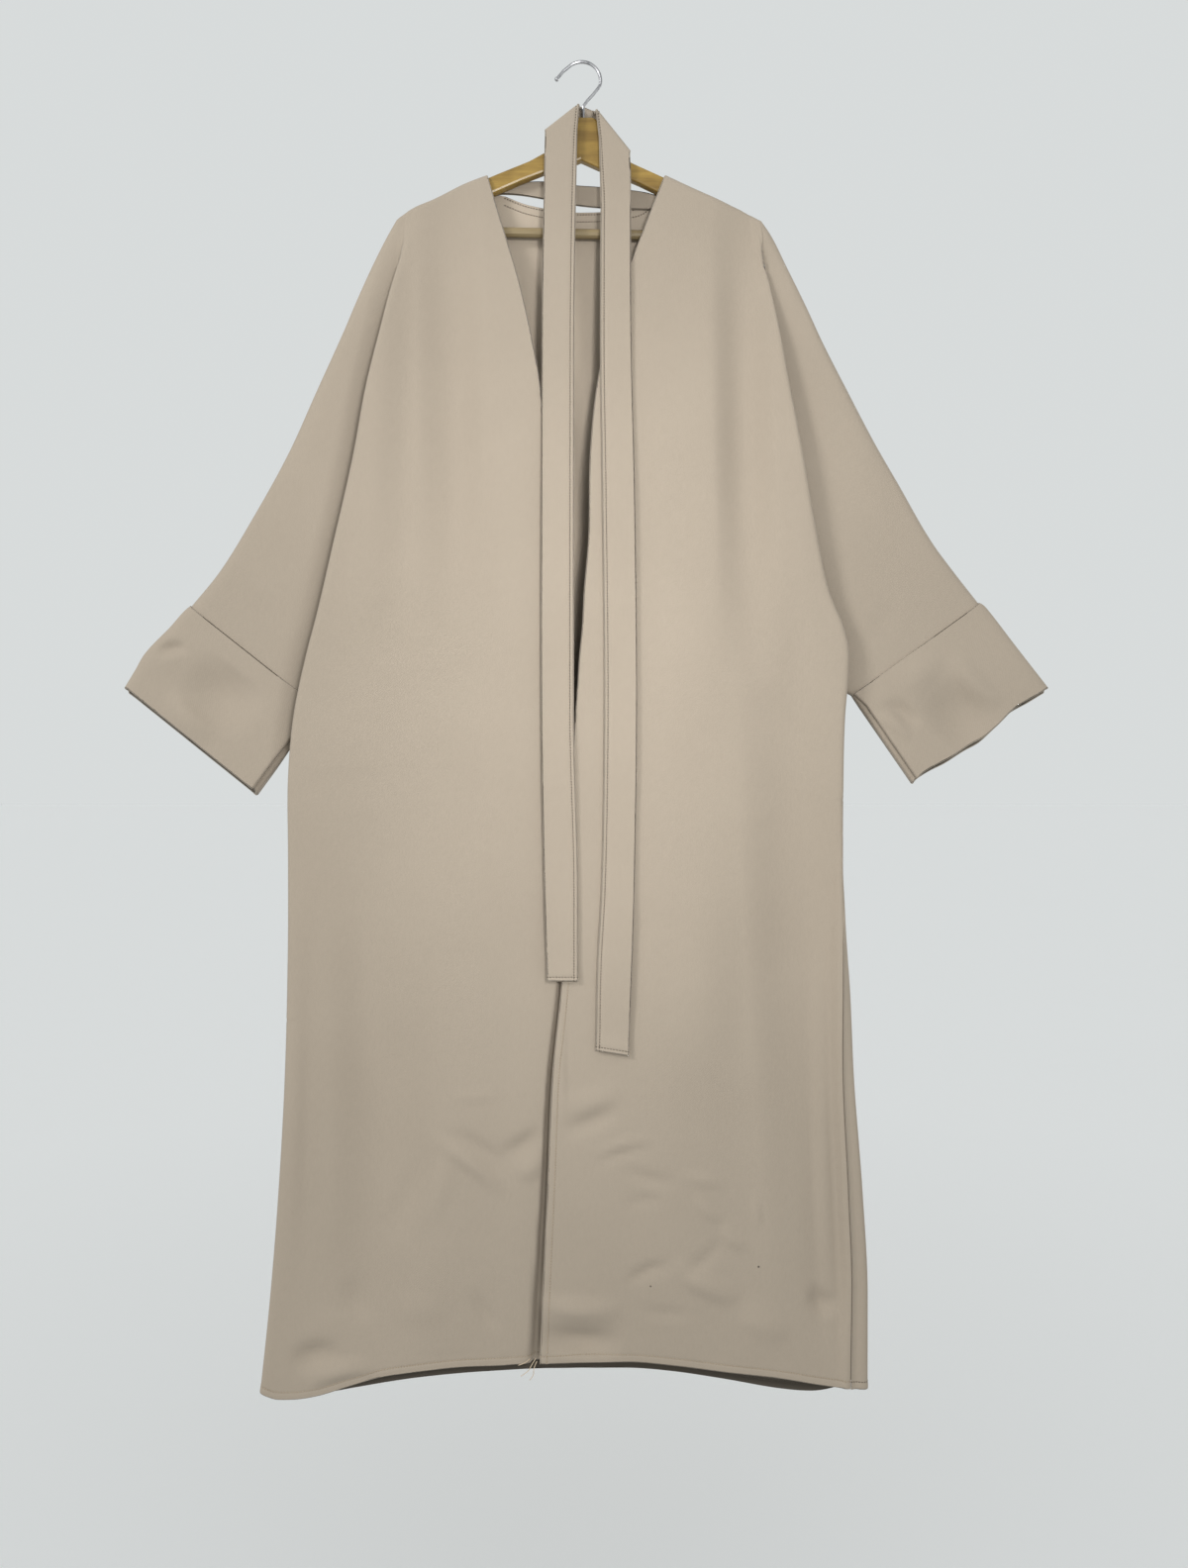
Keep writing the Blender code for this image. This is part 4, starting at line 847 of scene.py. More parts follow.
def back_sheet(sizes, look, inside):
    """The back with both its halves of the sleeves, its outer and middle grids and their runs."""
    bodies, sleeves, acrosses = [], [], []
    for side in (LEFT, RIGHT):
        body, sleeve, upper = face_grids(BACK, side)
        run = steps_between(body, 1)
        bodies.append(crease(body, BACK, side, reverse_run(run, 1)) * (side, 1, 1))
        sleeves.append(crease_sleeve(sleeve, BACK, side) * (side, 1, 1))
        acrosses.append(run * side)
    body, across = (np.concatenate([left[:, ::-1], right[:, 1:]], axis=1)
                    for left, right in (bodies, acrosses))
    body_index = numbered(body)
    quads, points, uv = [grid_quads(body_index)], [to_world(body)], [paired(across, body[..., 2])]
    start = body_index.size
    for side, sleeve, seam in zip((LEFT, RIGHT), sleeves, (0, -1)):
        index = numbered(sleeve, start)
        start += index.size
        index[:upper, 0] = body_index[:upper, seam]
        quads.append(grid_quads(index[:, ::side]))
        points.append(to_world(sleeve))
        uv.append(paired(sleeve[..., 0], sleeve[..., 2]))
    run_top = steps_between(body, 0)
    run_hem = reverse_run(run_top, 0)
    at_neck = (body[0, :, 0] > -SIDES[LEFT]["neck_out"]) & (body[0, :, 0] < SIDES[RIGHT]["neck_out"])
    thick = hem_bands(np.where(at_neck[None, :], run_top, NOWHERE), run_hem, sizes.wall / MM).ravel()
    thick = np.concatenate([thick, np.full(start - len(thick), sizes.wall / MM)])
    points, quads = np.concatenate(points), np.concatenate(quads)[:, ::-1]
    made, outer = shell("cloth_back", points, quads, thick, np.concatenate(uv), look, inside)
    return made, outer[body_index], points[body_index], run_top, run_hem


def cuff_path(face, inner, outer, share):
    """One face of a cuff's ring. The front's fold stands off, so that the back layer shows beside it."""
    if face == BACK:
        path = sleeve_path(face, (inner[0], 0.0, inner[1]), tuple(outer), CUFF_BACK)
    else:
        inwards = (outer - inner) / np.linalg.norm(outer - inner) * min(LIP_START + share * LIP_GROWTH, 1)
        under, lip = inner + inwards * (CUFF_LIP + LIP_UNDER), inner + inwards * CUFF_LIP
        places = ((inner, 0), (inner, -STRIP_DEPTH), (under, -STRIP_DEPTH), (under, -LIP_DEPTH),
                  (lip, -LIP_DEPTH), (lip, -CUFF_FRONT), (outer, -CUFF_FRONT), (outer, 0))
        path = rounded([(at[0], y, at[1]) for at, y in places], LIP_BENDS)
    path[-1, 1] = 0.0
    return spread(path, CUFF_COLUMNS)


def cuff_ring(side, share):
    """One ring of a cuff, `share` of the way from its seam to its opening."""
    names = ("inner", "outer", "open_in", "open_out")
    seam_in, seam_out, open_in, open_out = (np.array(CUFF[side][name], float) for name in names)
    axis = (open_in - seam_in) / np.linalg.norm(open_in - seam_in)
    gap = axis * CUFF_SEAM_GAP * (1 - share)
    inner = seam_in + (open_in - seam_in) * share + gap
    outer = seam_out + (open_out - seam_out) * share + gap
    outer = outer + np.array((axis[1], -axis[0])) * curve(CUFF_BULGE[side], SHIFT, "by", share)
    front, back = (cuff_path(face, inner, outer, share) for face in (FRONT, BACK))
    places = np.linspace(0, 1, len(front))
    away = (np.clip(places * CUFF_CORNERS, 0, 1) * np.clip((1 - places) * CUFF_CORNERS, 0, 1))[:, None]
    front[:, ::2] -= axis * away * CUFF_OPEN_LIFT[side] * share
    back[:, ::2] += axis * away * CUFF_BACK_REACH[side] * share**BACK_REACH_BEND
    ring = np.concatenate([front[:-1], back[:0:-1]])
    if side == RIGHT:
        places = (ring[:, 0] - inner[0]) / (outer[0] - inner[0])
        wave = curve(RIGHT_CUFF_WAVE, SHIFT, "by", places) * share**CUFF_WAVE_BEND
        ring[:, ::2] += axis * wave[:, None]
    return ring


def cuff_sheet(side, sizes, look, inside):
    """A wide cuff, a flat tube from its seam to its opening."""
    shares = np.concatenate([CUFF_SEAM_SHARES, np.linspace(*CUFF_MIDDLE, CUFF_ROWS), CUFF_OPEN_SHARES])
    grid = np.array([cuff_ring(side, share) for share in shares])
    grid = beside_fold(grid, side, np.full(grid.shape[:2], NOWHERE))
    lift = crease_field(CUFF_CREASES, grid, side) * np.clip(shares / CUFF_SMOOTH, 0, 1)[:, None]
    lift *= np.where(grid[..., 1] < 0, 1, CREASED_BACK)
    depth = np.abs(grid[..., 1])
    grid[..., 1] = np.sign(grid[..., 1]) * np.maximum(depth + lift, np.minimum(depth, LEAST_DEPTH))
    index = numbered(grid)
    quads = grid_quads(np.concatenate([index, index[:, :1]], axis=1))[:, ::side]
    uv = paired(steps_between(grid, 1), steps_between(grid, 0))
    name, wall = "cuff_sewn_" + SIDE_NAMES[side], sizes.cuff_wall / MM
    return shell(name, to_world(grid, side), quads, wall, uv, look, inside)[0]


def belt_y(drop):
    """The belt lies on the right front's middle, a wall's thickness clear."""
    level = min(max(drop, NECK_LEVEL), HEM_LEVEL)
    front = curve(FRONT_DEPTH, DEPTH, "middle", level) + curve(OVERLAP_ROWS, OVERLAP, "forward", level)
    return -max(float(front) + FRONT_WALL / 2 + LAY_GAP + BELT_WALL / 2, BELT_FRONT)


def strand_rows(side, rows, slant, waves):
    """Rows of one hanging strand from its free end up, each from its inner to its outer edge."""
    made, start, end = [], rows[0][0], rows[-1][0]
    for drop in (*(end - np.array(END_STEPS)), *np.linspace(end - END_RUN, start, STRAND_ROWS)):
        inner, outer = (curve(rows, BELT, name, drop) for name in ("inner", "outer"))
        lift = slant * max((drop - end) / SLANT_RISE + 1, 0.0)
        ends = ((inner, drop - lift / 2), (outer, drop + lift / 2))
        forward = curve(waves, BELT_WAVES, "forward", drop) + BELT_CURL * bell(drop - end, CURL_REACH)
        made.append([(side * out, belt_y(low) - forward, low) for out, low in ends])
    return made


def turn_rows(line, band):
    """Rows round a fold line, from the hanging strand over the top to the band behind the hanger."""
    middle, half = (BELT_BACK - BELT_FRONT) / 2, (BELT_BACK + BELT_FRONT) / 2
    made = []
    for angle in np.linspace(0, math.pi, TURN_ROWS):
        way = HANG if angle < math.pi / 2 else band
        shift = TURN_REACH * (1 - math.sin(angle))
        y = middle - half * math.cos(angle)
        lift = BAND_LIFT * max(y, 0) / BELT_BACK
        made.append([(x + way[0] * shift, y, drop + way[1] * shift - lift) for x, drop in line])
    return made


def between_rows(start, end, count):
    """Rows from one row of two ends to another, both left out."""
    start, end = np.array(start, float), np.array(end, float)
    return [(start + (end - start) * share).tolist() for share in np.linspace(0, 1, count + 2)[1:-1]]


def belt_rows():
    """The belt's rows from the left free end up, over the hanger and down to the right free end."""
    above = [[(x, -BELT_FRONT, drop) for x, drop in edges] for edges in (LEFT_ABOVE, RIGHT_ABOVE)]
    left, right = strand_rows(LEFT, *STRANDS[LEFT]), strand_rows(RIGHT, *STRANDS[RIGHT])[::-1]
    turn_left = turn_rows(LEFT_FOLD_LINE, LEFT_BAND)
    turn_right = turn_rows(RIGHT_FOLD_LINE, RIGHT_BAND)[::-1]
    rows = left
    for part, count in (([above[0]], STRAND_GAP_ROWS), (turn_left, TURN_GAP_ROWS), (turn_right, BAND_ROWS),
                        ([above[1]], TURN_GAP_ROWS), (right, STRAND_GAP_ROWS)):
        rows = rows + between_rows(rows[-1], part[0], count) + part
    return rows


def strip_grid(rows):
    """A grid across a strip given by rows of two ends."""
    ends = np.array(rows, float)
    return ends[:, :1] + (ends[:, 1:] - ends[:, :1]) * np.array(BELT_SHARES)[None, :, None]


def belt_sheet(sizes, look):
    """The long belt, sewn along its inner edge and across its ends."""
    grid = strip_grid(belt_rows())
    run, down = steps_between(grid, 1), steps_between(grid, 0)
    thick = np.full(run.shape, sizes.belt_wall / MM)
    for distance in (run, down, reverse_run(down, 0)):
        thick -= BELT_GROOVE * bell(distance - sizes.belt_seam / MM, BELT_GROOVE_WIDTH)
    index = numbered(grid)
    uv = paired(run, down)
    made, outer = shell("belt_sewn", to_world(grid), grid_quads(index), thick.ravel(), uv, look)
    return made, outer[index], run, down


def strap_sheet(sizes, look):
    """The narrow strap across the back of the neck."""
    rows = []
    for x in np.linspace(STRAP_ROWS[0][0], STRAP_ROWS[-1][0], STRAP_COLUMNS):
        upper, lower = (curve(STRAP_ROWS, STRAP, name, x) for name in ("upper", "lower"))
        rows.append([(x, STRAP_DEPTH, upper), (x, STRAP_DEPTH, lower)])
    grid = strip_grid(rows)
    quads = grid_quads(numbered(grid))[:, ::-1]
    uv = paired(steps_between(grid, 0), steps_between(grid, 1))
    return shell("strap_sewn", to_world(grid), quads, sizes.strap_wall / MM, uv, look)[0]


def line_at(grid, run, distance):
    """The point of each row of the grid at this running length, left out where the row is shorter."""
    found = [along(row, [distance], length)[0] for row, length in zip(grid, run)
             if length[0] <= distance <= length[-1]]
    return np.array(found)


def down_at(grid, run, distance):
    """The point of each column of the grid at this running length."""
    return line_at(grid.transpose(1, 0, 2), run.T, distance)


def hem_line(grid, run, distance):
    """As down_at, for a running length from the grid's lower edge up."""
    return down_at(grid[::-1], run[::-1], distance)


def loose_threads(look):
    """Short ends of thread left hanging where the hems meet."""
    curves = bpy.data.curves.new("loose_threads", "CURVE")
    curves.dimensions, curves.bevel_depth, curves.bevel_resolution = "3D", LOOSE_THREAD * MM, 1
    for points in LOOSE_THREADS:
        spline = curves.splines.new("NURBS")
        spline.points.add(len(points) - 1)
        for point, place in zip(spline.points, to_world(points)):
            point.co = (*place, 1)
        spline.use_endpoint_u, spline.order_u = True, 3
    mesh = as_mesh(put_in_scene("loose_threads_line", curves))
    mesh.materials.clear()
    mesh.materials.append(look)
    return put_in_scene("loose_threads", mesh)


class Graph:
    """A tree of nodes, added and linked with few words."""

    def __init__(self, tree):
        self.nodes, self.links = tree.nodes, tree.links

    def put(self, socket, value):
        """Gives a socket a value, or links it to another node's output."""
        if isinstance(value, bpy.types.NodeSocket):
            self.links.new(value, socket)
        else:
            socket.default_value = value

    def add(self, kind, inputs=None, **settings):
        """Adds a node and returns its outputs."""
        made = self.nodes.new(kind)
        for key, value in settings.items():
            setattr(made, key, value)
        for key, value in (inputs or {}).items():
            self.put(made.inputs[key], value)
        return made.outputs

    def vector(self, operation, result, *inputs):
        return self.add("ShaderNodeVectorMath", dict(enumerate(inputs)), operation=operation)[result]


class Look(Graph):
    """The nodes of one material, which read its object's own coordinates."""

    def __init__(self, name):
        self.material = bpy.data.materials.new(name)
        self.material.use_nodes = True
        super().__init__(self.material.node_tree)
        place = self.add("ShaderNodeTexCoord")
        self.here, self.laid = place["Object"], place["UV"]

    def noise(self, vector, scale, detail, rough, stretch=None):
        if stretch is not None:
            vector = self.stretched(vector, stretch)
        inputs = {"Vector": vector, "Scale": scale, "Detail": detail, "Roughness": rough}
        return self.add("ShaderNodeTexNoise", inputs)["Fac"]

    def stretched(self, vector, scale):
        return self.add("ShaderNodeMapping", {"Vector": vector, "Scale": scale})[0]

    def math(self, operation, first, second):
        return self.add("ShaderNodeMath", {0: first, 1: second}, operation=operation)[0]

    def scaled(self, value, new_low, new_high, low=NOISE_LOW, high=NOISE_HIGH):
        """Draws the range from low to high, by default a noise's, out to the new one."""
        inputs = {"Value": value, "From Min": low, "From Max": high, "To Min": new_low, "To Max": new_high}
        return self.add("ShaderNodeMapRange", inputs)["Result"]

    def mix(self, factor, first, second):
        return self.add("ShaderNodeMix", {0: factor, 6: first, 7: second}, data_type="RGBA")[2]

    def bump(self, height, distance, strength, **before):
        inputs = {"Height": height, "Distance": distance, "Strength": strength, **before}
        return self.add("ShaderNodeBump", inputs)[0]

    def finish(self, **inputs):
        """Sets the surface's inputs, their names written with underscores."""
        for name, value in inputs.items():
            self.put(self.nodes["Principled BSDF"].inputs[name.replace("_", " ")], value)
        return self.material


def stitch_tree():
    """Stitches at even steps along the edges of a mesh, each a small rounded length of thread."""
    tree = bpy.data.node_groups.new("sewn_stitches", "GeometryNodeTree")
    for name, kind, value in STITCH_INPUTS:
        socket = tree.interface.new_socket(name, in_out="INPUT", socket_type="NodeSocket" + kind)
        if value is not None:
            socket.default_value = value
    tree.interface.new_socket("Geometry", in_out="OUTPUT", socket_type="NodeSocketGeometry")
    graph = Graph(tree)
    given = graph.add("NodeGroupInput")
    line = graph.add("GeometryNodeMeshToCurve", {0: given["Geometry"]})[0]
    steps = {"Curve": line, "Length": given["Pitch"]}
    line = graph.add("GeometryNodeResampleCurve", steps, mode="LENGTH")[0]
    wander = {0: (-1, -1, -1), 1: (1, 1, 1), "Seed": given["Seed"]}
    aside = graph.add("FunctionNodeRandomValue", wander, data_type="FLOAT_VECTOR")[0]
    aside = graph.add("ShaderNodeVectorMath", {0: aside, "Scale": given["Wander"]}, operation="SCALE")[0]
    ahead = graph.add("GeometryNodeInputTangent")[0]
    way = graph.vector("ADD", "Vector", ahead, aside)
    turn = graph.add("FunctionNodeAlignRotationToVector", {"Vector": way}, axis="X")[0]
    bead = graph.add("GeometryNodeMeshUVSphere", {"Segments": 6, "Rings": 4, "Radius": 0.5})["Mesh"]
    sizes = {"X": given["Stitch length"], "Y": given["Thread"], "Z": given["Thread"]}
    shape = graph.add("ShaderNodeCombineXYZ", sizes)[0]
    placing = {"Points": line, "Instance": bead, "Rotation": turn, "Scale": shape}
    sewn = graph.add("GeometryNodeInstanceOnPoints", placing)[0]
    sewn = graph.add("GeometryNodeRealizeInstances", {0: sewn})[0]
    sewn = graph.add("GeometryNodeSetMaterial", {"Geometry": sewn, "Material": given["Look"]})[0]
    graph.add("NodeGroupOutput", {0: sewn})
    return tree


def stitches(name, lines, sizes, look):
    """Thread along these lines, as one plain mesh."""
    points, edges = [], []
    for line in lines:
        start = len(points)
        points += np.asarray(line).tolist()
        edges += [(i, i + 1) for i in range(start, len(points) - 1)]
    guide_mesh = bpy.data.meshes.new(name + "_line")
    guide_mesh.from_pydata(points, edges, [])
    guide = put_in_scene(name + "_line", guide_mesh)
    modifier = guide.modifiers.new("Stitches", "NODES")
    modifier.node_group = LOOKS["stitches"]
    settings = {"Pitch": sizes.pitch, "Stitch length": sizes.stitch, "Thread": sizes.thread, "Look": look}
    for socket, value in settings.items():
        modifier[modifier.node_group.interface.items_tree[socket].identifier] = value
    mesh = as_mesh(guide)
    mesh.shade_smooth()
    return piece(put_in_scene(name, mesh))


def tint(colour, shade=1.0):
    """A colour as the nodes take it, made darker or brighter."""
    return (*(shade * c for c in colour), 1)


def cloth_material(name, colours, shade=1.0, painted_hem_shade=None):
    """Smooth heavy cloth: fine twill, a brushed nap with cloudy shading, and a little wear."""
    look = Look(name)
    clouds = look.noise(look.here, *CLOUDS)
    nap = look.noise(look.laid, *NAP)
    grain = look.noise(look.laid, *GRAIN)
    twill = look.add("ShaderNodeTexWave", {"Vector": look.laid, **TWILL}, bands_direction="DIAGONAL")["Fac"]
    shading = look.math("ADD", look.scaled(clouds, *CLOUD_SHADE), look.scaled(nap, *NAP_SHADE))
    shading = look.math("ADD", shading, look.scaled(grain, *GRAIN_SHADE))
    shading = look.math("ADD", shading, look.scaled(twill, *TWILL_SHADE, 0.0, 1.0))
    # Painted light or shade: a copy for an inside is made brighter or darker all over by its shade.
    colour = look.mix(shading, tint(colours.cloth_shadow, shade), tint(colours.cloth_light, shade))
    # Painted shade: a copy for an inside can be painted darker towards the hem.
    if painted_hem_shade is not None:
        low = look.scaled(look.add("ShaderNodeSeparateXYZ", {0: look.here})["Z"], 1.0, 0.0, *PAINTED_SHADE_HEIGHTS)
        colour = look.mix(low, colour, tint(colours.cloth_shadow, painted_hem_shade))
    for place, radius in FLECKS:
        away = look.stretched(look.vector("SUBTRACT", "Vector", look.here, place), FLECK_SHAPE)
        near = look.scaled(look.vector("LENGTH", "Value", away), FLECK_STRENGTH, 0.0, radius / 2, radius)
        colour = look.mix(near, colour, tint(colours.fleck))
    height = look.math("ADD", look.math("MULTIPLY", twill, 0.35), look.math("MULTIPLY", nap, 0.9))
    normal = look.bump(grain, *GRAIN_BUMP, Normal=look.bump(height, *NAP_BUMP))
    return look.finish(Base_Color=colour, Roughness=look.scaled(nap, 0.82, 0.96), Normal=normal,
                       Sheen_Weight=0.12, Sheen_Roughness=0.45, Specular_IOR_Level=0.25)


def thread_material(name, colours, shade=1.0):
    """Twisted sewing thread, worn darker here and there."""
    look = Look(name)
    strands = look.noise(look.here, *STRANDS_OF_THREAD)
    worn = look.noise(look.here, *WORN_THREAD)
    colour = look.mix(worn, tint(colours.thread_dark, shade), tint(colours.thread_light, shade))
    return look.finish(Base_Color=colour, Roughness=look.scaled(strands, 0.5, 0.7),
                       Normal=look.bump(strands, *THREAD_BUMP))


def wood_material(name, light, dark, coat, rough):
    """Varnished wood, its grain along X, with darker pores and a few rubbed places."""
    look = Look(name)
    bands = look.noise(look.here, *WOOD_BANDS)
    pores = look.noise(look.here, *WOOD_PORES)
    rubbed = look.noise(look.here, *RUBBED_WOOD)
    tone = look.math("ADD", look.scaled(bands, 0.0, 0.8), look.scaled(pores, -0.16, 0.16, 0.35, 0.65))
    tone = look.math("ADD", tone, look.scaled(rubbed, -0.14, 0.2, 0.35, 0.7))
    return look.finish(Base_Color=look.mix(tone, tint(dark), tint(light)),
                       Roughness=look.scaled(rubbed, rough, rough + 0.16),
                       Normal=look.bump(pores, *WOOD_BUMP), Coat_Weight=coat, Coat_Roughness=0.22)


def steel_material(colours):
    """Bright plated wire with faint drawing marks along it and dull spots."""
    look = Look("plated_steel_wire")
    marks = look.noise(look.here, *WIRE_MARKS)
    spots = look.noise(look.here, *WIRE_SPOTS)
    dull = look.scaled(spots, 0.0, 1.0, 0.4, 0.7)
    colour = look.mix(dull, tint(colours.steel_light), tint(colours.steel_dark))
    return look.finish(Base_Color=colour, Roughness=look.scaled(spots, 0.34, 0.5, 0.35, 0.7),
                       Normal=look.bump(marks, *WIRE_BUMP), Metallic=1.0)


def floor_material(colour):
    """A plain pale floor with painted shade: a little darker under the cloak."""
    look = Look("pale_floor")
    soft = look.noise(look.here, *FLOOR_CLOUDS)
    far = look.vector("LENGTH", "Value", look.here)
    pale = look.math("ADD", look.scaled(far, 0.0, 1.0, 0.0, FLOOR_FADE), look.scaled(soft, -0.02, 0.02))
    return look.finish(Base_Color=look.mix(pale, tint(colour, FLOOR_NEAR), tint(colour)),
                       Roughness=look.scaled(soft, 0.7, 0.8), Normal=look.bump(soft, *FLOOR_BUMP))


def size(name, text, value, unit="LENGTH"):
    """A property that holds one measure."""
    return bpy.props.FloatProperty(name=name, description=text, default=value, unit=unit, precision=5)


def colour(name, text, value):
    """A property that holds one colour."""
    return bpy.props.FloatVectorProperty(name=name, description=text, default=value, subtype="COLOR",
                                         size=3, min=0, max=1)


class CloakSizes(bpy.types.PropertyGroup):
    """Sizes of the cloth and its sewing, in metres."""

    wall: size("Cloth", "Thickness of the fronts and the back", 0.0016)
    cuff_wall: size("Cuff", "Thickness of the doubled cuffs", 0.0024)
    belt_wall: size("Belt", "Thickness of the doubled belt", 0.003)
    strap_wall: size("Strap", "Thickness of the neck strap", 0.0022)
    belt_seam: size("Belt stitching", "How far the belt's stitching lies from its edge", 0.0046)
    pitch: size("Stitch pitch", "From one stitch to the next", 0.0032)
    stitch: size("Stitch length", "Length of one stitch", 0.0024)
    thread: size("Thread", "Thickness of the thread", 0.0014)


class CloakColours(bpy.types.PropertyGroup):
    """Colours of the cloth, wood and steel."""

    cloth_light: colour("Cloth, light", "Where the nap is brushed up", (0.360, 0.303, 0.240))
    # The dark tone is also the base of the painted shade towards the hem on the inside of the back.
    cloth_shadow: colour("Cloth, dark", "Where the nap lies down", (0.299, 0.2505, 0.1965))
    thread_light: colour("Thread, light", "Sewing thread", (0.13, 0.105, 0.075))
    thread_dark: colour("Thread, dark", "Sewing thread where it is worn", (0.075, 0.058, 0.04))
    fleck: colour("Flecks", "Dark flecks caught in the cloth", (0.03, 0.025, 0.02))
    wood_light: colour("Hanger, light", "Varnished wood between its grain", (0.355, 0.225, 0.042))
    wood_dark: colour("Hanger, dark", "Varnished wood along its grain", (0.175, 0.1, 0.014))
    bar_light: colour("Bar, light", "Pale wood between its grain", (0.29, 0.225, 0.12))
    bar_dark: colour("Bar, dark", "Pale wood along its grain", (0.19, 0.135, 0.06))
    steel_light: colour("Wire, bright", "Plated wire", (0.42, 0.42, 0.43))
    steel_dark: colour("Wire, dull", "Dull spots of the plating", (0.2, 0.2, 0.21))


class StageSettings(bpy.types.PropertyGroup):
    """The floor, the light and the camera."""

    floor_drop: size("Floor", "How far the floor lies below the hook", 1.9)
    camera_distance: size("Camera distance", "From the camera to the cloak's middle plane", 1.3685)
    camera_drop: size("Camera height", "How far the camera lies below the hook", 0.837)
    camera_aside: size("Camera aside", "How far right of the hook the camera stands", 0.0155)
    lens: size("Lens", "Focal length", 27.045, "CAMERA")
    floor: colour("Floor", "Pale floor", (1.0, 1.0, 1.0))
    background: colour("Background", "Plain pale background", (0.685, 0.71, 0.71))
    key_power: size("Key", "Power of the main light", 72.0, "POWER")
    fill_power: size("Fill", "Power of the weaker light", 10.0, "POWER")
    front_power: size("Front", "Power of the near light", 0.5, "POWER")
    back_power: size("Back", "Power of the light behind", 45.0, "POWER")


LOOKS = {}


def cloth_looks(scene):
    """The cloth's and the thread's finishes and the tree of stitches, made once."""
    if not LOOKS:
        colours = scene.cloak_colours
        LOOKS["cloth"] = cloth_material("beige_coat_cloth", colours)
        # Painted light and shade: the inside of the back is a brighter copy of the cloth, painted light
        # where it shows through the neck, and is painted darker towards the hem.
        LOOKS["inside"] = cloth_material("beige_cloth_inside_painted_light_and_shade", colours, shade=1.3, painted_hem_shade=0.3)
        # Painted shade: the cuffs' inner faces are a darker copy of the cloth, for the shade between their
        # layers.
        LOOKS["cuff_inside"] = cloth_material("beige_cuff_inside_painted_shade", colours, shade=0.4)
        LOOKS["belt"] = cloth_material("beige_belt_cloth", colours)
        LOOKS["thread"] = thread_material("sewing_thread", colours)
        LOOKS["pale_thread"] = thread_material("matching_thread", colours, shade=3.2)
        LOOKS["loose"] = thread_material("loose_thread", colours, shade=5.0)
        LOOKS["stitches"] = stitch_tree()
    return LOOKS


def piece(made, *nodes):
    """Attaches a finished piece of cloth or thread to the root body, and hides the solids it replaces."""
    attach(made, "root")
    if nodes:
        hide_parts(*nodes)
    return made


class CLOAK_OT_fronts(bpy.types.Operator):
    """Makes the two fronts with their halves of the sleeves, and the stitching along their edges"""

    bl_idname = "cloak.fronts"
    bl_label = "Fronts"

    def execute(self, context):
        sizes, looks = context.scene.cloak_sizes, cloth_looks(context.scene)
        for side in (LEFT, RIGHT):
            made, outer, run_edge, run_hem = front_sheet(side, sizes, looks["cloth"])
            edge_line = line_at(outer, run_edge, EDGE_BAND)
            lines = [edge_line[edge_line[:, 2] < -STITCHED_BELOW * MM], hem_line(outer, run_hem, HEM_BAND)]
            added = [stitches("stitches_front_" + SIDE_NAMES[side], lines, sizes, looks["pale_thread"])]
            piece(made, "front_" + SIDE_NAMES[side])
            if side == LEFT:
                added.append(piece(loose_threads(looks["loose"])))
        return {"FINISHED"}


class CLOAK_OT_back(bpy.types.Operator):
    """Makes the back with its halves of the sleeves, and the stitching along its neck and hem"""

    bl_idname = "cloak.back"
    bl_label = "Back"

    def execute(self, context):
        sizes, looks = context.scene.cloak_sizes, cloth_looks(context.scene)
        made, outer, middle, run_top, run_hem = back_sheet(sizes, looks["cloth"], looks["inside"])
        inner = 2 * middle - outer
        near_neck = (middle[0, :, 0] > -NECK_STITCH_REACH) & (middle[0, :, 0] < NECK_STITCH_REACH)
        lines = [down_at(grid[:, near_neck], run_top[:, near_neck], distance)
                 for distance in NECK_STITCHES for grid in (outer, inner)]
        lines += [hem_line(grid, run_hem, HEM_BAND) for grid in (outer, inner)]
        sewn = stitches("stitches_back", lines, sizes, looks["thread"])
        piece(made, "back")
        return {"FINISHED"}


class CLOAK_OT_cuffs(bpy.types.Operator):
    """Makes the two wide cuffs"""

    bl_idname = "cloak.cuffs"
    bl_label = "Cuffs"

    def execute(self, context):
        sizes, looks = context.scene.cloak_sizes, cloth_looks(context.scene)
        for side in (LEFT, RIGHT):
            # The cuff's inner faces take the painted shade.
            made = cuff_sheet(side, sizes, looks["cloth"], looks["cuff_inside"])
            piece(made, "cuff_" + SIDE_NAMES[side])
        return {"FINISHED"}


class CLOAK_OT_belt(bpy.types.Operator):
    """Makes the belt doubled over the hanger, and the strap across the back of the neck"""

    bl_idname = "cloak.belt"
    bl_label = "Belt and strap"

    def execute(self, context):
        sizes, looks = context.scene.cloak_sizes, cloth_looks(context.scene)
        belt, outer, run, down = belt_sheet(sizes, looks["belt"])
        seam = sizes.belt_seam / MM
        lines = [line_at(outer, run, seam), down_at(outer, down, seam)]
        lines.append(hem_line(outer, reverse_run(down, 0), seam))
        sewn = stitches("stitches_belt", lines, sizes, looks["thread"])
        piece(belt, "belt_left", "belt_neck", "belt_right")
        strap = piece(strap_sheet(sizes, looks["cloth"]), "neck_strap")
        return {"FINISHED"}


class CLOAK_OT_hanger(bpy.types.Operator):
    """Gives the wooden hanger, its bar and its hook their finishes"""

    bl_idname = "cloak.hanger"
    bl_label = "Hanger"

    def execute(self, context):
        colours = context.scene.cloak_colours
        varnished = wood_material("varnished_wood", colours.wood_light, colours.wood_dark,
                                  coat=0.2, rough=0.42)
        pale = wood_material("pale_bar_wood", colours.bar_light, colours.bar_dark, coat=0.1, rough=0.55)
        looks = {"hanger_wood": varnished, "hanger_bar": pale, "hanger_hook": steel_material(colours)}
        for name, look in looks.items():
            for slot in frame["nodes"][name].material_slots:
                slot.material = look
        return {"FINISHED"}


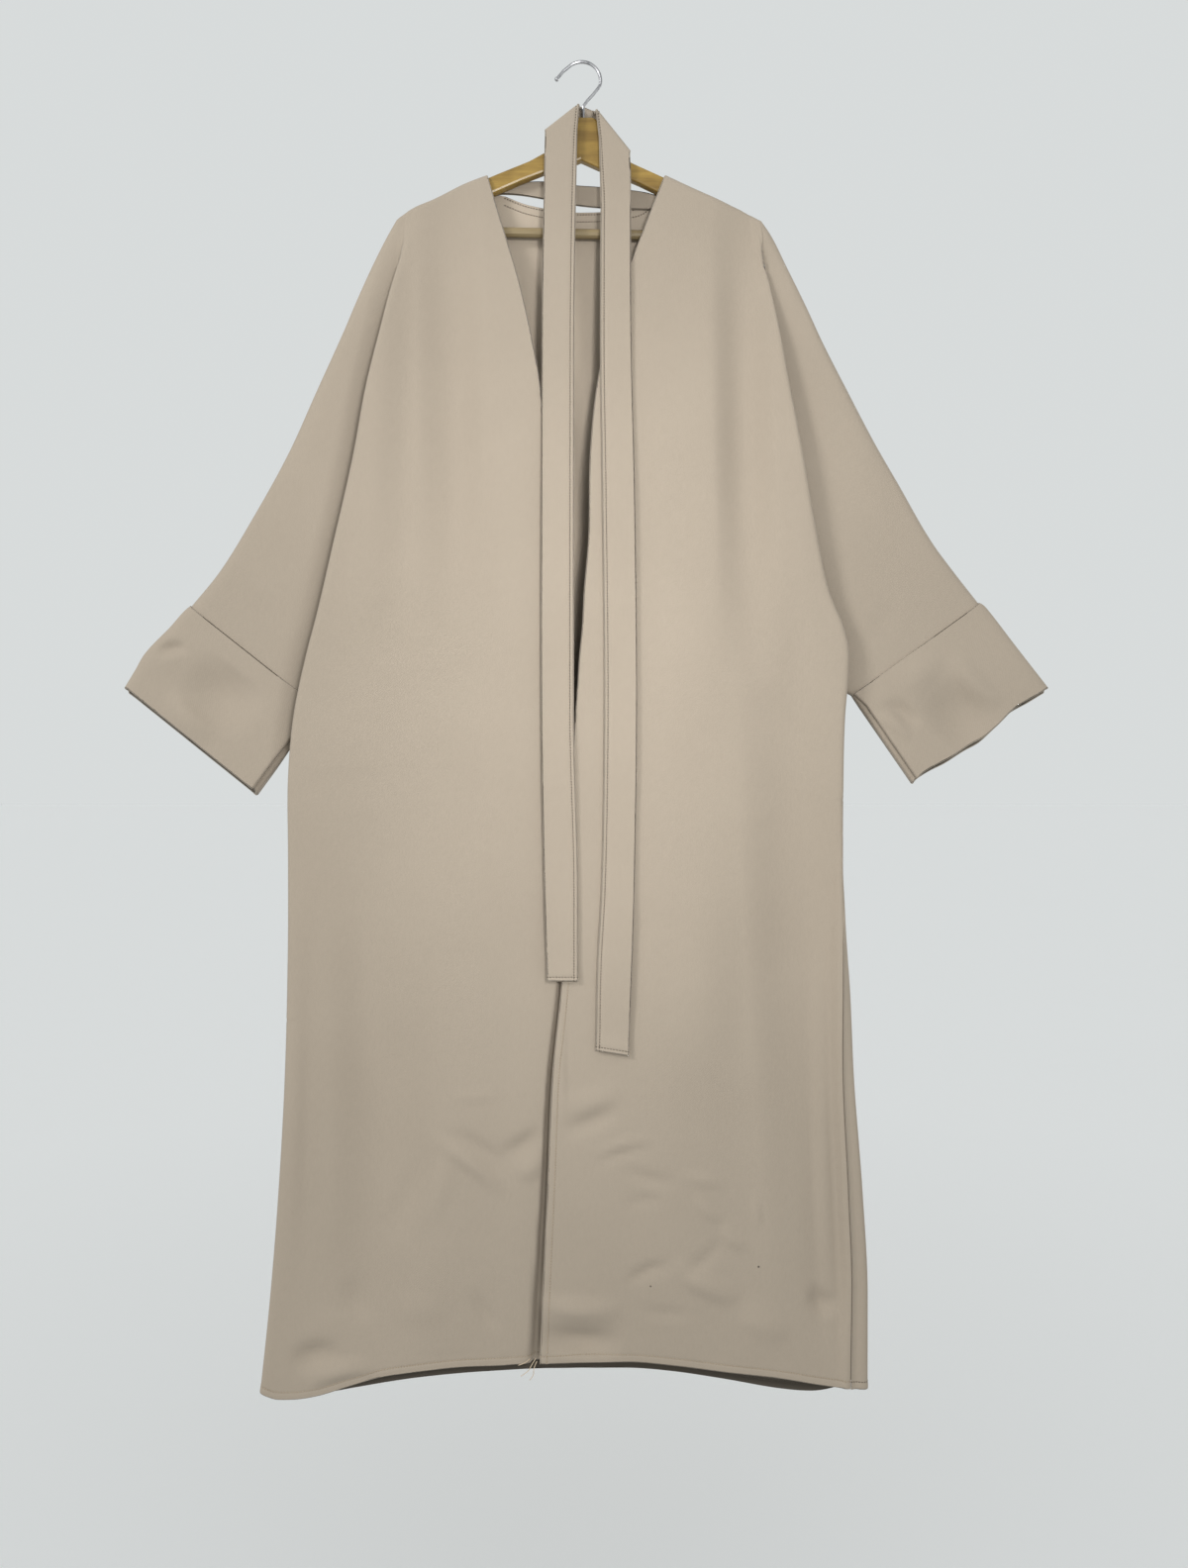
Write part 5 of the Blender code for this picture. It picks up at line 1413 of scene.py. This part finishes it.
def make_floor(stage):
    """A wide flat floor below the cloak."""
    surface = bmesh.new()
    bmesh.ops.create_grid(surface, x_segments=12, y_segments=12, size=FLOOR_HALF)
    mesh = bpy.data.meshes.new("floor")
    surface.to_mesh(mesh)
    surface.free()
    mesh.materials.append(floor_material(stage.floor))
    floor = put_in_scene("floor", mesh)
    floor.location = (0, 0, -stage.floor_drop)
    return floor


def make_lamp(name, power, place, aim, width, height, beam):
    """A flat lamp that shines from its place at its aim."""
    data = bpy.data.lights.new(name, "AREA")
    data.shape = "RECTANGLE"
    data.energy, data.size, data.size_y, data.spread = power, width, height, beam
    lamp = put_in_scene(name, data)
    lamp.location = place
    lamp.rotation_euler = (Vector(aim) - Vector(place)).to_track_quat("-Z", "Y").to_euler()
    return lamp


class CLOAK_OT_stage(bpy.types.Operator):
    """Makes the pale floor and background, the lights and the camera"""

    bl_idname = "cloak.stage"
    bl_label = "Stage"

    def execute(self, context):
        stage, scene = context.scene.cloak_stage, context.scene
        floor = make_floor(stage)
        world = bpy.data.worlds.new("pale_background")
        world.use_nodes = True
        world.node_tree.nodes["Background"].inputs["Color"].default_value = tint(stage.background)
        scene.world = world
        scene.view_settings.view_transform = "Standard"
        lit = bpy.data.collections.new("lit_by_lamps")
        for shown in scene.objects:
            if shown.type == "MESH" and shown != floor:
                lit.objects.link(shown)
        powers = (stage.key_power, stage.fill_power, stage.front_power, stage.back_power)
        for (name, *settings), power in zip(LAMPS, powers):
            make_lamp(name, power, *settings).light_linking.receiver_collection = lit
        data = bpy.data.cameras.new("camera")
        data.lens = stage.lens
        camera = put_in_scene("camera", data)
        camera.location = (stage.camera_aside, -stage.camera_distance, -stage.camera_drop)
        camera.rotation_euler = (math.pi / 2, 0, 0)
        scene.camera = camera
        return {"FINISHED"}


PIECES = (CLOAK_OT_fronts, CLOAK_OT_back, CLOAK_OT_cuffs, CLOAK_OT_belt, CLOAK_OT_hanger, CLOAK_OT_stage)


class CLOAK_PT_panel(bpy.types.Panel):
    """Lists the cloak's pieces, sizes and colours"""

    bl_label = "Abaya cloak"
    bl_idname = "CLOAK_PT_panel"
    bl_space_type = "VIEW_3D"
    bl_region_type = "UI"
    bl_category = "Cloak"

    def draw(self, context):
        for made in PIECES:
            self.layout.operator(made.bl_idname)
        for group in (context.scene.cloak_sizes, context.scene.cloak_colours, context.scene.cloak_stage):
            box = self.layout.box()
            for name in group.__annotations__:
                box.prop(group, name)


CLASSES = (CloakSizes, CloakColours, StageSettings, *PIECES, CLOAK_PT_panel)


def register():
    for made in CLASSES:
        bpy.utils.register_class(made)
    bpy.types.Scene.cloak_sizes = bpy.props.PointerProperty(type=CloakSizes)
    bpy.types.Scene.cloak_colours = bpy.props.PointerProperty(type=CloakColours)
    bpy.types.Scene.cloak_stage = bpy.props.PointerProperty(type=StageSettings)


def unregister():
    del bpy.types.Scene.cloak_sizes, bpy.types.Scene.cloak_colours, bpy.types.Scene.cloak_stage
    for made in reversed(CLASSES):
        bpy.utils.unregister_class(made)


def main():
    register()
    for made in PIECES:
        group, name = made.bl_idname.split(".")
        getattr(getattr(bpy.ops, group), name)()


if __name__ == "__main__":
    main()
